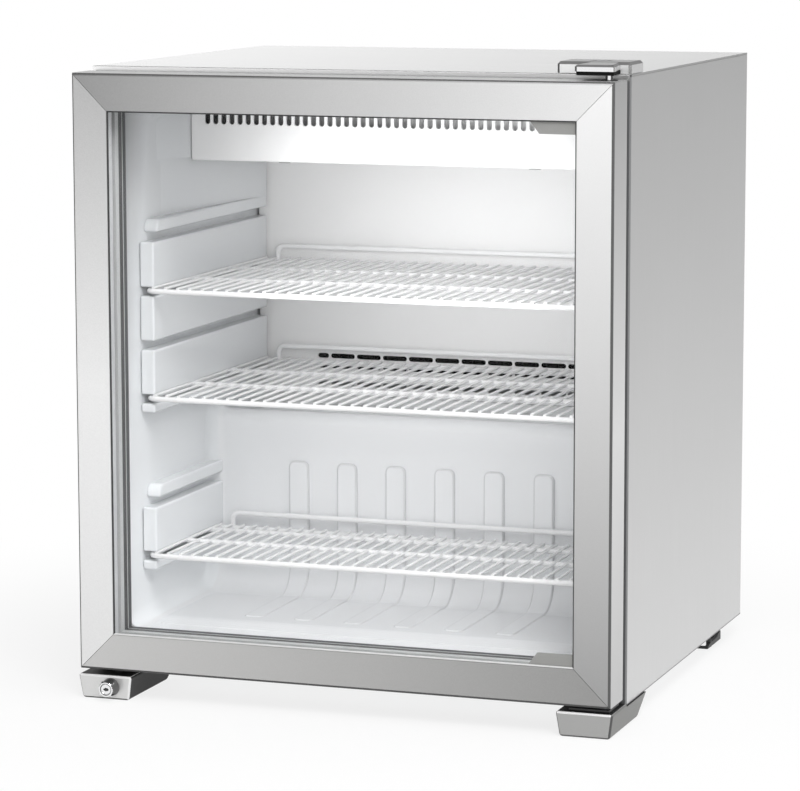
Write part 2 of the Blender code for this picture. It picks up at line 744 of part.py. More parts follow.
def make_evaporator():
    front = DUCT_REAR + SEAT_GAP
    low = LEDGE + COIL_RISE
    outline = comb(2 * COIL_HALF_WIDTH, COIL_DEPTH, COIL_FIN_COUNT, FIN_THICKNESS, FIN_ROOT)
    outline = [(x, front + COIL_DEPTH - y) for x, y in outline]
    add("evaporator_fins", prism(outline, "Z", low, low + COIL_HEIGHT), ALUMINIUM)
    y = front + COIL_DEPTH + SEAT_GAP + COIL_TUBE_RADIUS
    bend = COIL_HEIGHT / COIL_PASS_COUNT / 2
    run = COIL_HALF_WIDTH - bend
    bottom = low + bend
    points = []
    for step in range(COIL_PASS_COUNT):
        level = bottom + 2 * bend * step
        side = 1 if step % 2 == 0 else -1
        points += [(-side * run, y, level), (0.0, y, level)]
        if step == COIL_PASS_COUNT - 1:
            points.append((side * run, y, level))
            continue
        for x, z in arc((0.0, level + bend), bend, 270, 450, 6):
            points.append((side * (run + x), y, z))
    add_pipe("evaporator_tube", points, COIL_TUBE_RADIUS, COPPER, 1)


def make_fan(name, centre, axis, radius, depth, material):
    """Hub with a shaft bore and pitched blades; the origin lies on the axis."""
    hub = radius * FAN_HUB_SHARE
    bore = MOTOR_SHAFT_RADIUS + RUN_GAP
    half = depth / 2
    profile = [(bore, -half), (hub, -half), (hub, half), (bore, half)]
    fan = add(name, turned(profile, centre, axis, 20, hollow=True), material, centre, smooth=True)
    blades = []
    chord = (depth - FAN_BLADE_SHEET - 2 * FAN_FACE_GAP) / math.sin(FAN_BLADE_PITCH)
    for step in range(FAN_BLADE_COUNT):
        near = (hub - FAN_BLADE_SINK, -chord / 2, -FAN_BLADE_SHEET / 2)
        blade = box(near, (radius, chord / 2, FAN_BLADE_SHEET / 2))
        turn = Matrix.Rotation(2 * math.pi * step / FAN_BLADE_COUNT, 4, "Z")
        pitch = Matrix.Rotation(FAN_BLADE_PITCH, 4, "X")
        bmesh.ops.transform(blade, matrix=turn @ pitch, verts=blade.verts)
        blades.append(blade)
    fuse(fan, aim(merged(blades), centre, axis))


def make_motor(name, centre, axis, radius, depth, seat, material):
    """Motor behind a fan on a strap, whose two legs reach forward to a plate at the seat distance."""
    strap_face = depth / 2 + MOTOR_HUB_GAP
    strap_back = strap_face + STRAP_SHEET
    body = radius * MOTOR_RADIUS_SHARE
    leg = radius + FAN_TIP_GAP + STRAP_LEG_GAP
    tip = -depth / 4
    profile = [(MOTOR_SHAFT_RADIUS, tip), (MOTOR_SHAFT_RADIUS, strap_face), (body, strap_face),
               (body, strap_back + MOTOR_BODY_LENGTH)]
    motor = add(name, turned(profile, centre, axis, 20), material, smooth=True)
    half = STRAP_WIDTH / 2
    reach = leg + STRAP_SHEET
    near = seat + SEAT_GAP
    outline = [(-reach, near), (-leg, near), (-leg, strap_face), (leg, strap_face), (leg, near),
               (reach, near), (reach, strap_back), (-reach, strap_back)]
    strap = prism(outline, "Y", -half, half)
    fuse(motor, aim(strap, centre, axis))


def make_cooler_fan():
    centre = (0.0, (DUCT_FACE + DUCT_REAR) / 2, COOLER_FAN_Z)
    make_fan("evaporator_fan", centre, (0, 1, 0), COOLER_FAN_RADIUS, COOLER_FAN_DEPTH, BLACK)
    make_motor("evaporator_fan_motor", centre, (0, 1, 0), COOLER_FAN_RADIUS, COOLER_FAN_DEPTH, DUCT_PANEL / 2,
               GALVANISED)


# Machine room

def make_compressor():
    floor = BASE_TOP + SEAT_GAP
    plate_low = floor + GROMMET_HEIGHT
    low = plate_low + COMPRESSOR_PLATE - SEAT_GAP
    profile = [(wide * COMPRESSOR_RADIUS, tall * COMPRESSOR_HEIGHT) for wide, tall in COMPRESSOR_SHAPE]
    centre = (COMPRESSOR_X, MACHINE_MID, low)
    shell = add("compressor", turned(profile, centre, (0, 0, 1), 24), BLACK_PAINT, smooth=True)
    reach = COMPRESSOR_PLATE_REACH
    ear = COMPRESSOR_EAR
    plate = box((COMPRESSOR_X - reach, MACHINE_MID - ear, plate_low),
                (COMPRESSOR_X + reach, MACHINE_MID + ear, plate_low + COMPRESSOR_PLATE))
    fuse(shell, plate)
    posts = []
    for side in (-1, 1):
        place = (COMPRESSOR_X + side * (reach - ear), MACHINE_MID, floor)
        posts.append(drum(GROMMET_RADIUS, 0.0, GROMMET_HEIGHT + COMPRESSOR_PLATE / 2, place, (0, 0, 1), 12))
    fuse(shell, merged(posts))
    side_face = COMPRESSOR_X - COMPRESSOR_RADIUS - SEAT_GAP
    half = RELAY_LENGTH / 2
    relay_low = low + RELAY_RISE
    add("relay_box", box((side_face - RELAY_WIDTH, MACHINE_MID - half, relay_low),
                         (side_face, MACHINE_MID + half, relay_low + RELAY_HEIGHT)), BLACK)
    top = low + COMPRESSOR_HEIGHT
    make_drip_tray(top + SEAT_GAP)
    wall = MACHINE_TOP - SEAT_GAP
    return top, wall


def make_drip_tray(low):
    x0 = COMPRESSOR_X - TRAY_LENGTH / 2
    x1 = COMPRESSOR_X + TRAY_LENGTH / 2
    y0 = MACHINE_MID - TRAY_WIDTH / 2
    y1 = MACHINE_MID + TRAY_WIDTH / 2
    tray = add("drip_tray", box((x0, y0, low), (x1, y1, low + TRAY_DEPTH)), BLACK)
    wall = TRAY_WALL
    cut(tray, box((x0 + wall, y0 + wall, low + wall), (x1 - wall, y1 - wall, low + 2 * TRAY_DEPTH)))


CONDENSER_LEFT = -INNER_HALF + MACHINE_WALL_GAP
CONDENSER_RIGHT = CONDENSER_LEFT + CONDENSER_WIDTH
MACHINE_FLOOR = BASE_TOP + SEAT_GAP
SHROUD_LEFT = CONDENSER_RIGHT + SEAT_GAP


def make_condenser():
    outline = comb(CONDENSER_LENGTH, CONDENSER_HEIGHT, CONDENSER_FIN_COUNT, FIN_THICKNESS, FIN_ROOT)
    outline = [(MACHINE_MID + y, MACHINE_FLOOR + z) for y, z in outline]
    add("condenser_fins", prism(outline, "X", CONDENSER_LEFT, CONDENSER_RIGHT), ALUMINIUM)
    centre_z = MACHINE_FLOOR + CONDENSER_HEIGHT / 2
    right = SHROUD_LEFT + SHROUD_SHEET
    near = (SHROUD_LEFT, MACHINE_MID - CONDENSER_LENGTH / 2, MACHINE_FLOOR)
    far = (right, MACHINE_MID + CONDENSER_LENGTH / 2, MACHINE_FLOOR + CONDENSER_HEIGHT)
    shroud = add("fan_shroud", box(near, far), GALVANISED)
    hole = ROOM_FAN_RADIUS + FAN_TIP_GAP
    spot = (SHROUD_LEFT, MACHINE_MID, centre_z)
    cut(shroud, drum(hole, -SHROUD_SHEET, 2 * SHROUD_SHEET, spot, (1, 0, 0), 32))
    fan_x = right + ROOM_FAN_DEPTH / 2 + SEAT_GAP
    centre = (fan_x, MACHINE_MID, centre_z)
    make_fan("condenser_fan", centre, (1, 0, 0), ROOM_FAN_RADIUS, ROOM_FAN_DEPTH, BLACK)
    make_motor("condenser_fan_motor", centre, (1, 0, 0), ROOM_FAN_RADIUS, ROOM_FAN_DEPTH, right - fan_x,
               GALVANISED)


def make_pipes(compressor_top, ceiling):
    """Discharge line to the condenser, suction line up into the foam, and the drier at the condenser."""
    crown = MACHINE_FLOOR + CONDENSER_HEIGHT
    lift = PIPE_RADIUS + SEAT_GAP
    front = MACHINE_MID - COMPRESSOR_RADIUS - lift
    side = COMPRESSOR_X - PIPE_SPREAD
    low = compressor_top - PIPE_DROP
    over = (crown + lift + ceiling) / 2
    end = CONDENSER_RIGHT - CONDENSER_WIDTH / 2
    route = [(side, front, low), (side, front, (low + over) / 2), (side - PIPE_BEND, front, over),
             (end + PIPE_BEND, front, over), (end, front, crown + lift)]
    add_pipe("discharge_tube", smooth_route(route), PIPE_RADIUS, COPPER)
    other = COMPRESSOR_X + PIPE_SPREAD
    levels = (low, (low + ceiling) / 2, ceiling)
    add_pipe("suction_tube", [(other, front, level) for level in levels], PIPE_RADIUS, COPPER)
    near = MACHINE_MID + CONDENSER_LENGTH / 2 - DRIER_RADIUS
    neck = PIPE_RADIUS
    profile = [(neck, 0.0), (neck, neck), (DRIER_RADIUS, 2 * neck), (DRIER_RADIUS, DRIER_LENGTH - 2 * neck),
               (neck, DRIER_LENGTH - neck), (neck, DRIER_LENGTH)]
    start = (CONDENSER_LEFT, near, crown + DRIER_RADIUS + SEAT_GAP)
    add("filter_drier", turned(profile, start, (1, 0, 0), 12), COPPER, smooth=True)


def make_grille():
    low = MACHINE_FLOOR
    high = MACHINE_TOP - SEAT_GAP
    sheet = box((-INNER_HALF, GRILLE_FRONT, low), (INNER_HALF, GRILLE_REAR, high))
    grille = add("rear_grille", sheet, GALVANISED)
    holes = []
    near = GRILLE_FRONT - SHEET
    far = GRILLE_REAR + SHEET
    for row in range(LOUVRE_COUNT):
        bottom = low + LOUVRE_RISE + row * LOUVRE_PITCH
        for left in (LOUVRE_LEFT, LOUVRE_RIGHT):
            holes.append(box((left, near, bottom), (left + LOUVRE_LENGTH, far, bottom + LOUVRE_HEIGHT)))
    rear = (0, 1, 0)
    span = GRILLE_FRONT - SHEET
    holes.append(drum(KNOB_SHAFT_RADIUS + RUN_GAP, 0.0, 3 * SHEET, (KNOB_X, span, CONTROL_Z), rear, 16))
    holes.append(drum(GLAND_BODY + SEAT_GAP, 0.0, 3 * SHEET, (GLAND_X, span, GLAND_Z), rear, 20))
    half = SWITCH_WIDTH / 2 + RUN_GAP
    tall = SWITCH_RADIUS + RUN_GAP
    holes.append(box((SWITCH_X - half, near, CONTROL_Z - tall), (SWITCH_X + half, far, CONTROL_Z + tall)))
    cut(grille, merged(holes))


def make_controls():
    """Control box inside the grille, thermostat knob and lamp switch outside it, and the mains gland."""
    face = GRILLE_FRONT - SWITCH_RADIUS - SEAT_GAP
    low = CONTROL_Z - CONTROL_HEIGHT / 2
    left = CONTROL_X - CONTROL_WIDTH / 2
    right = CONTROL_X + CONTROL_WIDTH / 2
    high = low + CONTROL_HEIGHT
    wall = GRILLE_FRONT - SEAT_GAP
    control = add("control_box", box((left, face - CONTROL_DEPTH, low), (right, wall, high)), WHITE)
    near = (left + TRAY_WALL, face, low + TRAY_WALL)
    cut(control, box(near, (right - TRAY_WALL, wall + SHEET, high - TRAY_WALL)))
    shaft_end = face + SEAT_GAP
    knob_face = GRILLE_REAR + RUN_GAP
    pivot = (KNOB_X, knob_face, CONTROL_Z)
    stem = shaft_end - knob_face
    profile = [(KNOB_SHAFT_RADIUS, stem), (KNOB_SHAFT_RADIUS, 0.0), (KNOB_RADIUS, 0.0),
               (KNOB_RADIUS, KNOB_SKIRT), (KNOB_GRIP_RADIUS, KNOB_SKIRT + SHEET),
               (KNOB_GRIP_RADIUS, KNOB_HEIGHT)]
    knob = add("thermostat_knob", turned(profile, pivot, (0, 1, 0), 24), BLACK, pivot, smooth=True)
    mark = KNOB_MARK / 2
    top = knob_face + KNOB_HEIGHT
    near = (KNOB_X - mark, top - mark, CONTROL_Z)
    cut(knob, box(near, (KNOB_X + mark, top + mark, CONTROL_Z + KNOB_RADIUS)))
    make_switch()
    body = wall - SHEET
    profile = [(GLAND_BORE, body), (GLAND_BODY, body), (GLAND_BODY, GRILLE_REAR + SEAT_GAP),
               (GLAND_FLANGE, GRILLE_REAR + SEAT_GAP), (GLAND_FLANGE, GRILLE_REAR + GLAND_FLANGE_SHEET),
               (GLAND_BODY, GRILLE_REAR + GLAND_REACH), (GLAND_BORE, GRILLE_REAR + GLAND_REACH)]
    add("mains_gland", turned(profile, (GLAND_X, 0, GLAND_Z), (0, 1, 0), 20, hollow=True), BLACK, smooth=True)


def make_switch():
    """Rocker with a round back, turning on an axis in the plane of the grille."""
    pivot = (SWITCH_X, GRILLE_FRONT, CONTROL_Z)
    crest = SWITCH_RADIUS * math.tan(SWITCH_TILT)
    outline = arc((GRILLE_FRONT, CONTROL_Z), SWITCH_RADIUS, 90, 270, 8)
    nose = GRILLE_REAR + SWITCH_PROUD
    waist = SWITCH_WAIST
    outline += [(nose + 2 * crest, CONTROL_Z - waist), (nose, CONTROL_Z), (nose, CONTROL_Z + waist)]
    half = SWITCH_WIDTH / 2
    add("lamp_switch", prism(outline, "X", SWITCH_X - half, SWITCH_X + half), BLACK, pivot)


# Feet

def tapered_block(x0, x1, sole_x0, sole_x1):
    """Foot block whose sides and rear draw in towards the sole."""
    mesh = bmesh.new()
    rear = FOOT_FRONT + FOOT_LENGTH
    sole_rear = FOOT_FRONT + FOOT_SOLE_LENGTH
    rise = FOOT_TAPER / 2
    toe = FOOT_FRONT + rise
    sole = [(sole_x0, toe), (sole_x1, toe), (sole_x1, sole_rear), (sole_x0, sole_rear)]
    crown = [(x0, FOOT_FRONT), (x1, FOOT_FRONT), (x1, rear), (x0, rear)]
    loops = []
    for outline, z in ((sole, 0.0), (crown, FOOT_TOP)):
        loops.append([mesh.verts.new((x, y, z)) for x, y in outline])
    skin(mesh, loops)
    upright = [edge for edge in mesh.edges if abs(edge.verts[0].co.z - edge.verts[1].co.z) > FOOT_TOP / 2]
    bmesh.ops.bevel(mesh, geom=upright, offset=FOOT_EDGE_RADIUS, segments=3, profile=0.5, affect="EDGES")
    return mesh


def make_front_feet():
    for side, name in ((-1, "front_foot_left"), (1, "front_foot_right")):
        outer = side * HALF_WIDTH
        inner = side * (HALF_WIDTH - FOOT_WIDTH)
        sole = sorted((outer - side * FOOT_TAPER, inner + side * FOOT_TAPER))
        crown = sorted((outer, inner))
        foot = add(name, tapered_block(crown[0], crown[1], sole[0], sole[1]), SILVER, smooth=True)
        seat = BOTTOM - SEAT_GAP
        step_front = CABINET_FRONT - SEAT_GAP
        cut(foot, box((crown[0] - SHEET, step_front, seat), (crown[1] + SHEET, BACK, TOP)))
        if side < 0:
            cut(foot, lock_hole())
            cut(foot, bolt_channel())


def make_rear_feet():
    rear = BACK - REAR_FOOT_BACKSET
    front = rear - REAR_FOOT_LENGTH
    post = BOTTOM - SEAT_GAP
    for side, name in ((-1, "rear_foot_left"), (1, "rear_foot_right")):
        outer = side * (HALF_WIDTH - REAR_FOOT_INSET)
        edges = sorted((outer, outer - side * REAR_FOOT_WIDTH))
        sole = REAR_FOOT_SOLE
        middle = rear - REAR_POST_LENGTH
        outline = [(front, 0.0), (rear, 0.0), (rear, post), (middle, post), (middle - sole, sole),
                   (front, sole)]
        add(name, prism(outline, "X", edges[0], edges[1]), BLACK)


# Lock

LOCK_FACE = FOOT_FRONT - LOCK_REACH
LOCK_REAR = FOOT_FRONT + LOCK_BODY_LENGTH
BOLT_Y = LOCK_REAR + LOCK_TAIL_LENGTH + RUN_GAP + BOLT_THICKNESS / 2
BOLT_TOP = DOOR_BOTTOM - FOOT_DOOR_GAP / 2


def lock_hole():
    """Bore in the left foot for the lock body."""
    spot = (LOCK_X, FOOT_FRONT, LOCK_HEIGHT)
    return drum(LOCK_BODY_RADIUS + SEAT_GAP, -FOOT_TAPER, LOCK_BODY_LENGTH + SEAT_GAP, spot, (0, 1, 0), 20)


def bolt_channel():
    """Upright channel behind the lock body, from under the plug's tail to the foot's top."""
    half = BOLT_WIDTH / 2 + RUN_GAP
    rear = BOLT_Y + BOLT_THICKNESS / 2 + RUN_GAP
    low = LOCK_HEIGHT - half
    return box((LOCK_X - half, LOCK_REAR - RUN_GAP, low), (LOCK_X + half, rear, TOP))


def make_lock():
    bore = LOCK_PLUG_RADIUS + RUN_GAP
    seat = FOOT_FRONT - SEAT_GAP
    profile = [(bore, LOCK_FACE), (LOCK_NOSE_RADIUS, LOCK_FACE), (LOCK_RING_RADIUS, seat),
               (LOCK_BODY_RADIUS, seat), (LOCK_BODY_RADIUS, LOCK_REAR), (bore, LOCK_REAR)]
    centre = (LOCK_X, 0, LOCK_HEIGHT)
    add("lock_housing", turned(profile, centre, (0, 1, 0), 24, hollow=True), CHROME, smooth=True)
    face = LOCK_FACE + RUN_GAP
    tail = LOCK_REAR + LOCK_TAIL_LENGTH
    pivot = (LOCK_X, LOCK_FACE, LOCK_HEIGHT)
    profile = [(LOCK_PLUG_RADIUS, face), (LOCK_PLUG_RADIUS, LOCK_REAR), (LOCK_TAIL_RADIUS, LOCK_REAR),
               (LOCK_TAIL_RADIUS, tail)]
    plug = add("lock_plug", turned(profile, centre, (0, 1, 0), 20), CHROME, pivot, smooth=True)
    wide = KEY_WIDTH / 2
    tall = KEY_HEIGHT / 2
    cut(plug, box((LOCK_X - wide, LOCK_FACE - KEY_DEPTH, LOCK_HEIGHT - tall),
                  (LOCK_X + wide, LOCK_FACE + KEY_DEPTH, LOCK_HEIGHT + tall)))
    half = BOLT_WIDTH / 2
    thick = BOLT_THICKNESS / 2
    low = BOLT_TOP - BOLT_LENGTH
    bolt = box((LOCK_X - half, BOLT_Y - thick, low), (LOCK_X + half, BOLT_Y + thick, BOLT_TOP))
    add("lock_bolt", bolt, CHROME, (LOCK_X, BOLT_Y, BOLT_TOP))


# Door

DOOR_RECT = (-HALF_WIDTH, HALF_WIDTH, DOOR_BOTTOM, DOOR_TOP)
PLATE_FACE = DOOR_FRONT + FRAME_LIP + SEAT_GAP
GLASS_FACE = PLATE_FACE + CORNER_PLATE + SEAT_GAP
SPACER_FACE = GLASS_FACE + PANE + SEAT_GAP
INNER_FACE = SPACER_FACE + PANE_SPACING + SEAT_GAP
BEAD_FACE_Y = INNER_FACE + PANE + SEAT_GAP


def bar_profile():
    """Section of a frame bar as (distance in from the door's edge, depth from the door's face)."""
    edge = FRAME_EDGE_RADIUS
    small = LIP_EDGE_RADIUS
    points = arc((edge, edge), edge, 180, 270, 4)
    points += arc((FRAME_FACE - small, small), small, 270, 360, 2)
    points += [(FRAME_FACE, FRAME_LIP), (FRAME_BAR, FRAME_LIP), (FRAME_BAR, DOOR_THICKNESS)]
    return points + [(small, DOOR_THICKNESS), (0.0, DOOR_THICKNESS - small)]


def mitred_bar(side):
    """One side of the door frame, mitred at both ends."""
    x0, x1, z0, z1 = DOOR_RECT
    mesh = bmesh.new()
    loops = ([], [])
    for inward, depth in bar_profile():
        y = DOOR_FRONT + depth
        cut_back = inward + SEAT_GAP
        level = {"top": z1 - inward, "bottom": z0 + inward}.get(side)
        upright = {"left": x0 + inward, "right": x1 - inward}.get(side)
        if level is not None:
            ends = ((x0 + cut_back, y, level), (x1 - cut_back, y, level))
        else:
            ends = ((upright, y, z0 + cut_back), (upright, y, z1 - cut_back))
        for loop, end in zip(loops, ends):
            loop.append(mesh.verts.new(end))
    skin(mesh, list(loops))
    return mesh


def bush_hole(low, high):
    return drum(BUSH_RADIUS + SEAT_GAP, low, high, (HINGE_X, HINGE_Y, 0), (0, 0, 1), 20)


def make_door(hinge):
    names = {"top": "door_rail_top", "bottom": "door_rail_bottom", "left": "door_stile_left",
             "right": "door_stile_right"}
    bars = {side: add(name, mitred_bar(side), SILVER, hinge, smooth=True) for side, name in names.items()}
    depth = BUSH_LENGTH + SEAT_GAP
    for side in ("top", "right"):
        cut(bars[side], bush_hole(DOOR_TOP - depth, DOOR_TOP + depth))
    for side in ("bottom", "right"):
        cut(bars[side], bush_hole(DOOR_BOTTOM - depth, DOOR_BOTTOM + depth))
    half = POCKET_SIDE / 2
    top = BOLT_TOP + BOLT_TRAVEL + RUN_GAP
    pocket = box((LOCK_X - half, BOLT_Y - half, DOOR_BOTTOM - SHEET), (LOCK_X + half, BOLT_Y + half, top))
    cut(bars["bottom"], pocket)
    for name, low in (("hinge_bush_upper", DOOR_TOP - BUSH_LENGTH), ("hinge_bush_lower", DOOR_BOTTOM)):
        bore = HINGE_PIN_RADIUS + RUN_GAP
        high = low + BUSH_LENGTH
        profile = [(bore, low), (BUSH_RADIUS, low), (BUSH_RADIUS, high), (bore, high)]
        bush = turned(profile, (HINGE_X, HINGE_Y, 0), (0, 0, 1), 20, hollow=True)
        add(name, bush, BLACK, hinge, smooth=True)
    make_glazing(hinge)


def make_glazing(hinge):
    pane = inset(DOOR_RECT, FRAME_BAR + SEAT_GAP)
    for name, face in (("glass_outer", GLASS_FACE), ("glass_inner", INNER_FACE)):
        add(name, box((pane[0], face, pane[2]), (pane[1], face + PANE, pane[3])), GLASS, hinge)
    outer = inset(DOOR_RECT, SPACER_INSET)
    inner = inset(outer, SPACER_WIDTH)
    end = SPACER_FACE + PANE_SPACING
    add("glass_spacer", frame_ring([(outer, SPACER_FACE), (outer, end), (inner, end), (inner, SPACER_FACE)]),
        ALUMINIUM, hinge)
    sight = inset(DOOR_RECT, BEAD_FACE)
    back = DOOR_BACK - SEAT_GAP
    add("door_bead", frame_ring([(pane, BEAD_FACE_Y), (pane, back), (sight, back), (sight, BEAD_FACE_Y)]),
        TRIM_GREY, hinge)
    rim = inset(DOOR_RECT, GASKET_OUTER_INSET)
    near = DOOR_BACK + SEAT_GAP
    far = CABINET_FRONT - SEAT_GAP
    middle = (near + far) / 2
    hole = inset(rim, GASKET_WIDTH)
    lip = inset(rim, GASKET_LIP)
    throat = inset(hole, -GASKET_LIP)
    loops = [(rim, near), (lip, middle), (rim, far), (hole, far), (throat, middle), (hole, near)]
    add("door_gasket", frame_ring(loops), RUBBER, hinge)
    make_corner_plates(hinge, pane)
    bar_right = sight[1] - SEAT_GAP
    start = BEAD_FACE_Y + SEAT_GAP
    add("light_bar", box((bar_right - LIGHT_BAR_WIDTH, start, DOOR_BOTTOM + LIGHT_BAR_END),
                         (bar_right, start + LIGHT_BAR_DEPTH, DOOR_TOP - LIGHT_BAR_END)), LIGHT, hinge)


def make_corner_plates(hinge, pane):
    """Plates behind the frame's lip at the hinge corners; a strip of each shows through the glass."""
    right = pane[1]
    left = right - CORNER_PLATE_LENGTH
    for name, edge, way in (("corner_plate_upper", pane[3], -1), ("corner_plate_lower", pane[2], 1)):
        limit = {-1: DOOR_TOP, 1: DOOR_BOTTOM}[way] + way * (FRAME_FACE + CORNER_PLATE_SIGHT)
        slant = left + CORNER_PLATE_SLANT
        outline = [(left, edge), (right, edge), (right, limit), (slant, limit)]
        add(name, prism(outline, "Y", PLATE_FACE, PLATE_FACE + CORNER_PLATE), TRIM_GREY, hinge)


# Hinges

def chamfered_block(low, high, chamfer):
    """Block with a chamfer round its top edges and its upright edges."""
    x0, y0, z0 = low
    x1, y1, z1 = high
    mesh = bmesh.new()

    def outline(shrink, z):
        a0, a1, b0, b1 = x0 + shrink, x1 - shrink, y0 + shrink, y1 - shrink
        c = HINGE_CORNER
        corners = ((a0 + c, b0), (a1 - c, b0), (a1, b0 + c), (a1, b1 - c), (a1 - c, b1), (a0 + c, b1),
                   (a0, b1 - c), (a0, b0 + c))
        return [mesh.verts.new((x, y, z)) for x, y in corners]

    skin(mesh, [outline(0.0, z0), outline(0.0, z1 - chamfer), outline(chamfer, z1)])
    return mesh


def make_hinges():
    low = TOP + SEAT_GAP
    high = low + HINGE_BRACKET_HEIGHT
    right = HALF_WIDTH - HINGE_BASE_SIDE
    front = CABINET_FRONT + HINGE_BASE_SETBACK
    base = chamfered_block((right - HINGE_BASE_LENGTH, front, low), (right, front + HINGE_BASE_DEPTH, high),
                           HINGE_CHAMFER)
    bracket = add("top_hinge_bracket", base, CHROME)
    arm_low = DOOR_TOP + HINGE_ARM_RISE
    arm_right = HALF_WIDTH - HINGE_ARM_SIDE
    arm_front = HINGE_Y - HINGE_ARM_OVERHANG
    arm_near = (arm_right - HINGE_ARM_WIDTH, arm_front, arm_low)
    arm_far = (arm_right, front + HINGE_BASE_DEPTH / 2, high - HINGE_ARM_STEP)
    fuse(bracket, chamfered_block(arm_near, arm_far, HINGE_ARM_CHAMFER))
    axis = (HINGE_X, HINGE_Y, 0)
    pin_low = DOOR_TOP - HINGE_PIN_REACH
    pin = drum(HINGE_PIN_RADIUS, pin_low, arm_low - SEAT_GAP, axis, (0, 0, 1), 20)
    add("top_hinge_pin", pin, CHROME, smooth=True)
    plate_low = FOOT_TOP + SEAT_GAP
    plate_top = plate_low + HINGE_PLATE
    side = HALF_WIDTH - HINGE_ARM_SIDE
    half = HINGE_PLATE_DEPTH / 2
    add("bottom_hinge_plate", box((side - HINGE_PLATE_LENGTH, HINGE_Y - half, plate_low),
                                  (side, HINGE_Y + half, plate_top)), BLACK_PAINT)
    pin_top = DOOR_BOTTOM + HINGE_PIN_REACH
    pin = drum(HINGE_PIN_RADIUS, plate_top + SEAT_GAP, pin_top, axis, (0, 0, 1), 20)
    add("bottom_hinge_pin", pin, CHROME, smooth=True)


make_shell()
make_insulation()
make_liner()
make_shelves()
make_duct_panel()
make_air_cover()
make_evaporator()
make_cooler_fan()
compressor_top, machine_ceiling = make_compressor()
make_condenser()
make_pipes(compressor_top, machine_ceiling)
make_grille()
make_controls()
make_front_feet()
make_rear_feet()
make_lock()
make_door(add_empty("door_axis", (HINGE_X, HINGE_Y, DOOR_BOTTOM)))
make_hinges()
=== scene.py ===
"""Looks for the glass-door countertop freezer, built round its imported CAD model.

Metres, +Z up, the door faces -Y and hinges on its right.
"""
import math

import bmesh
import bpy
from mathutils import Matrix, Vector


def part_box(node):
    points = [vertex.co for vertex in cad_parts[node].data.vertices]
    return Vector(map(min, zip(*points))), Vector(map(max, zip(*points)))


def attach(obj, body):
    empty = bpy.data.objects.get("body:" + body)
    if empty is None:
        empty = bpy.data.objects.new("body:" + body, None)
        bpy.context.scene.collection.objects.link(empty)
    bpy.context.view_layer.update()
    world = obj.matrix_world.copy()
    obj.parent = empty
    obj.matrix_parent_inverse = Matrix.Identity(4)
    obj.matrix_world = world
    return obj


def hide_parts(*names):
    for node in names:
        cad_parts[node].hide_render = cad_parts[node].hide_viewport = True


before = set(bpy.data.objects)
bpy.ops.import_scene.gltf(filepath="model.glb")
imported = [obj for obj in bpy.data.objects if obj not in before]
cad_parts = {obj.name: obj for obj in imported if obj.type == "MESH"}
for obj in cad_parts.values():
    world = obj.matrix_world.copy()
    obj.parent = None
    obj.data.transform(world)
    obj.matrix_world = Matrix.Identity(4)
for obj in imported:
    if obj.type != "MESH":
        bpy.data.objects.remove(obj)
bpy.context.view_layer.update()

# Camera, as solved from the photograph's perspective
CAMERA_PLACE = (1.27147, -3.67915, 0.8792)
CAMERA_YAW = 0.33866
CAMERA_DIP = 0.14527
CAMERA_ROLL = 0.00169
CAMERA_LENS = 157.752
SENSOR_WIDTH = 36.0
VIEW_REACH = 200.0

# Studio: a softbox has a place, a target, a width, a height and a power
FILL_LIGHT = 0.39
CEILING_TONE = 0.10
CEILING_RISE = (0.18, 0.55)
FLOOR_RADIUS = 90.0
FLOOR_FADE = (0.30, 0.95)
FLOOR_WHITE = (0.8, 1.0)
TARGET = (0.0, 0.0, 0.35)
SOFTBOXES = (("top_softbox", (0.2, -0.1, 2.4), TARGET, 2.2, 2.2, 15.0),
             ("front_softbox", (1.4, -2.2, 2.9), TARGET, 1.4, 1.4, 66.0),
             ("side_softbox", (2.6, -0.6, 1.2), TARGET, 1.6, 1.6, 16.0),
             ("room_light", (0.042, -0.205, 0.52), (0.022, 0.10, 0.50), 0.32, 0.20, 0.29))
NOT_MIRRORED = ("top_softbox", "room_light")
ROOM_LIGHT_SPREAD = math.radians(110)
DARK_CARDS = (("left_card", (-1.52, -0.4, 0.0), (-1.50, 1.6, 1.3)),
              ("right_card", (1.75, -1.3, 0.0), (1.77, -0.35, 0.7)))

# Door frame; the turn says how far the rounded edge faces forward where its painted dark reflection lies
DOOR_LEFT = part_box("door_stile_left")[0].x
DOOR_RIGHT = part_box("door_stile_right")[1].x
DOOR_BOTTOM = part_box("door_rail_bottom")[0].z
DOOR_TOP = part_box("door_rail_top")[1].z
DOOR_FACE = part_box("door_rail_top")[0].y
DOOR_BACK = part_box("door_rail_top")[1].y
DOOR_DEPTH = DOOR_BACK - DOOR_FACE
DOOR_RECT = (DOOR_LEFT, DOOR_RIGHT, DOOR_BOTTOM, DOOR_TOP)
FRAME_FACE = 0.040
FRAME_BAR = 0.022
FRAME_LIP = 0.003
FRAME_ROUND = 0.0035
LIP_ROUND = 0.0008
FRAME_BACK_ROUND = 0.0015
MITRE_GAP = 0.0003
KEEPER_GAP = 0.0012
BOLT_LIFT = 0.011
EDGE_TURN = {"left": (0.1, 0.95), "right": (0.40, 0.98), "top": (0.3, 0.85), "bottom": (0.1, 0.97)}

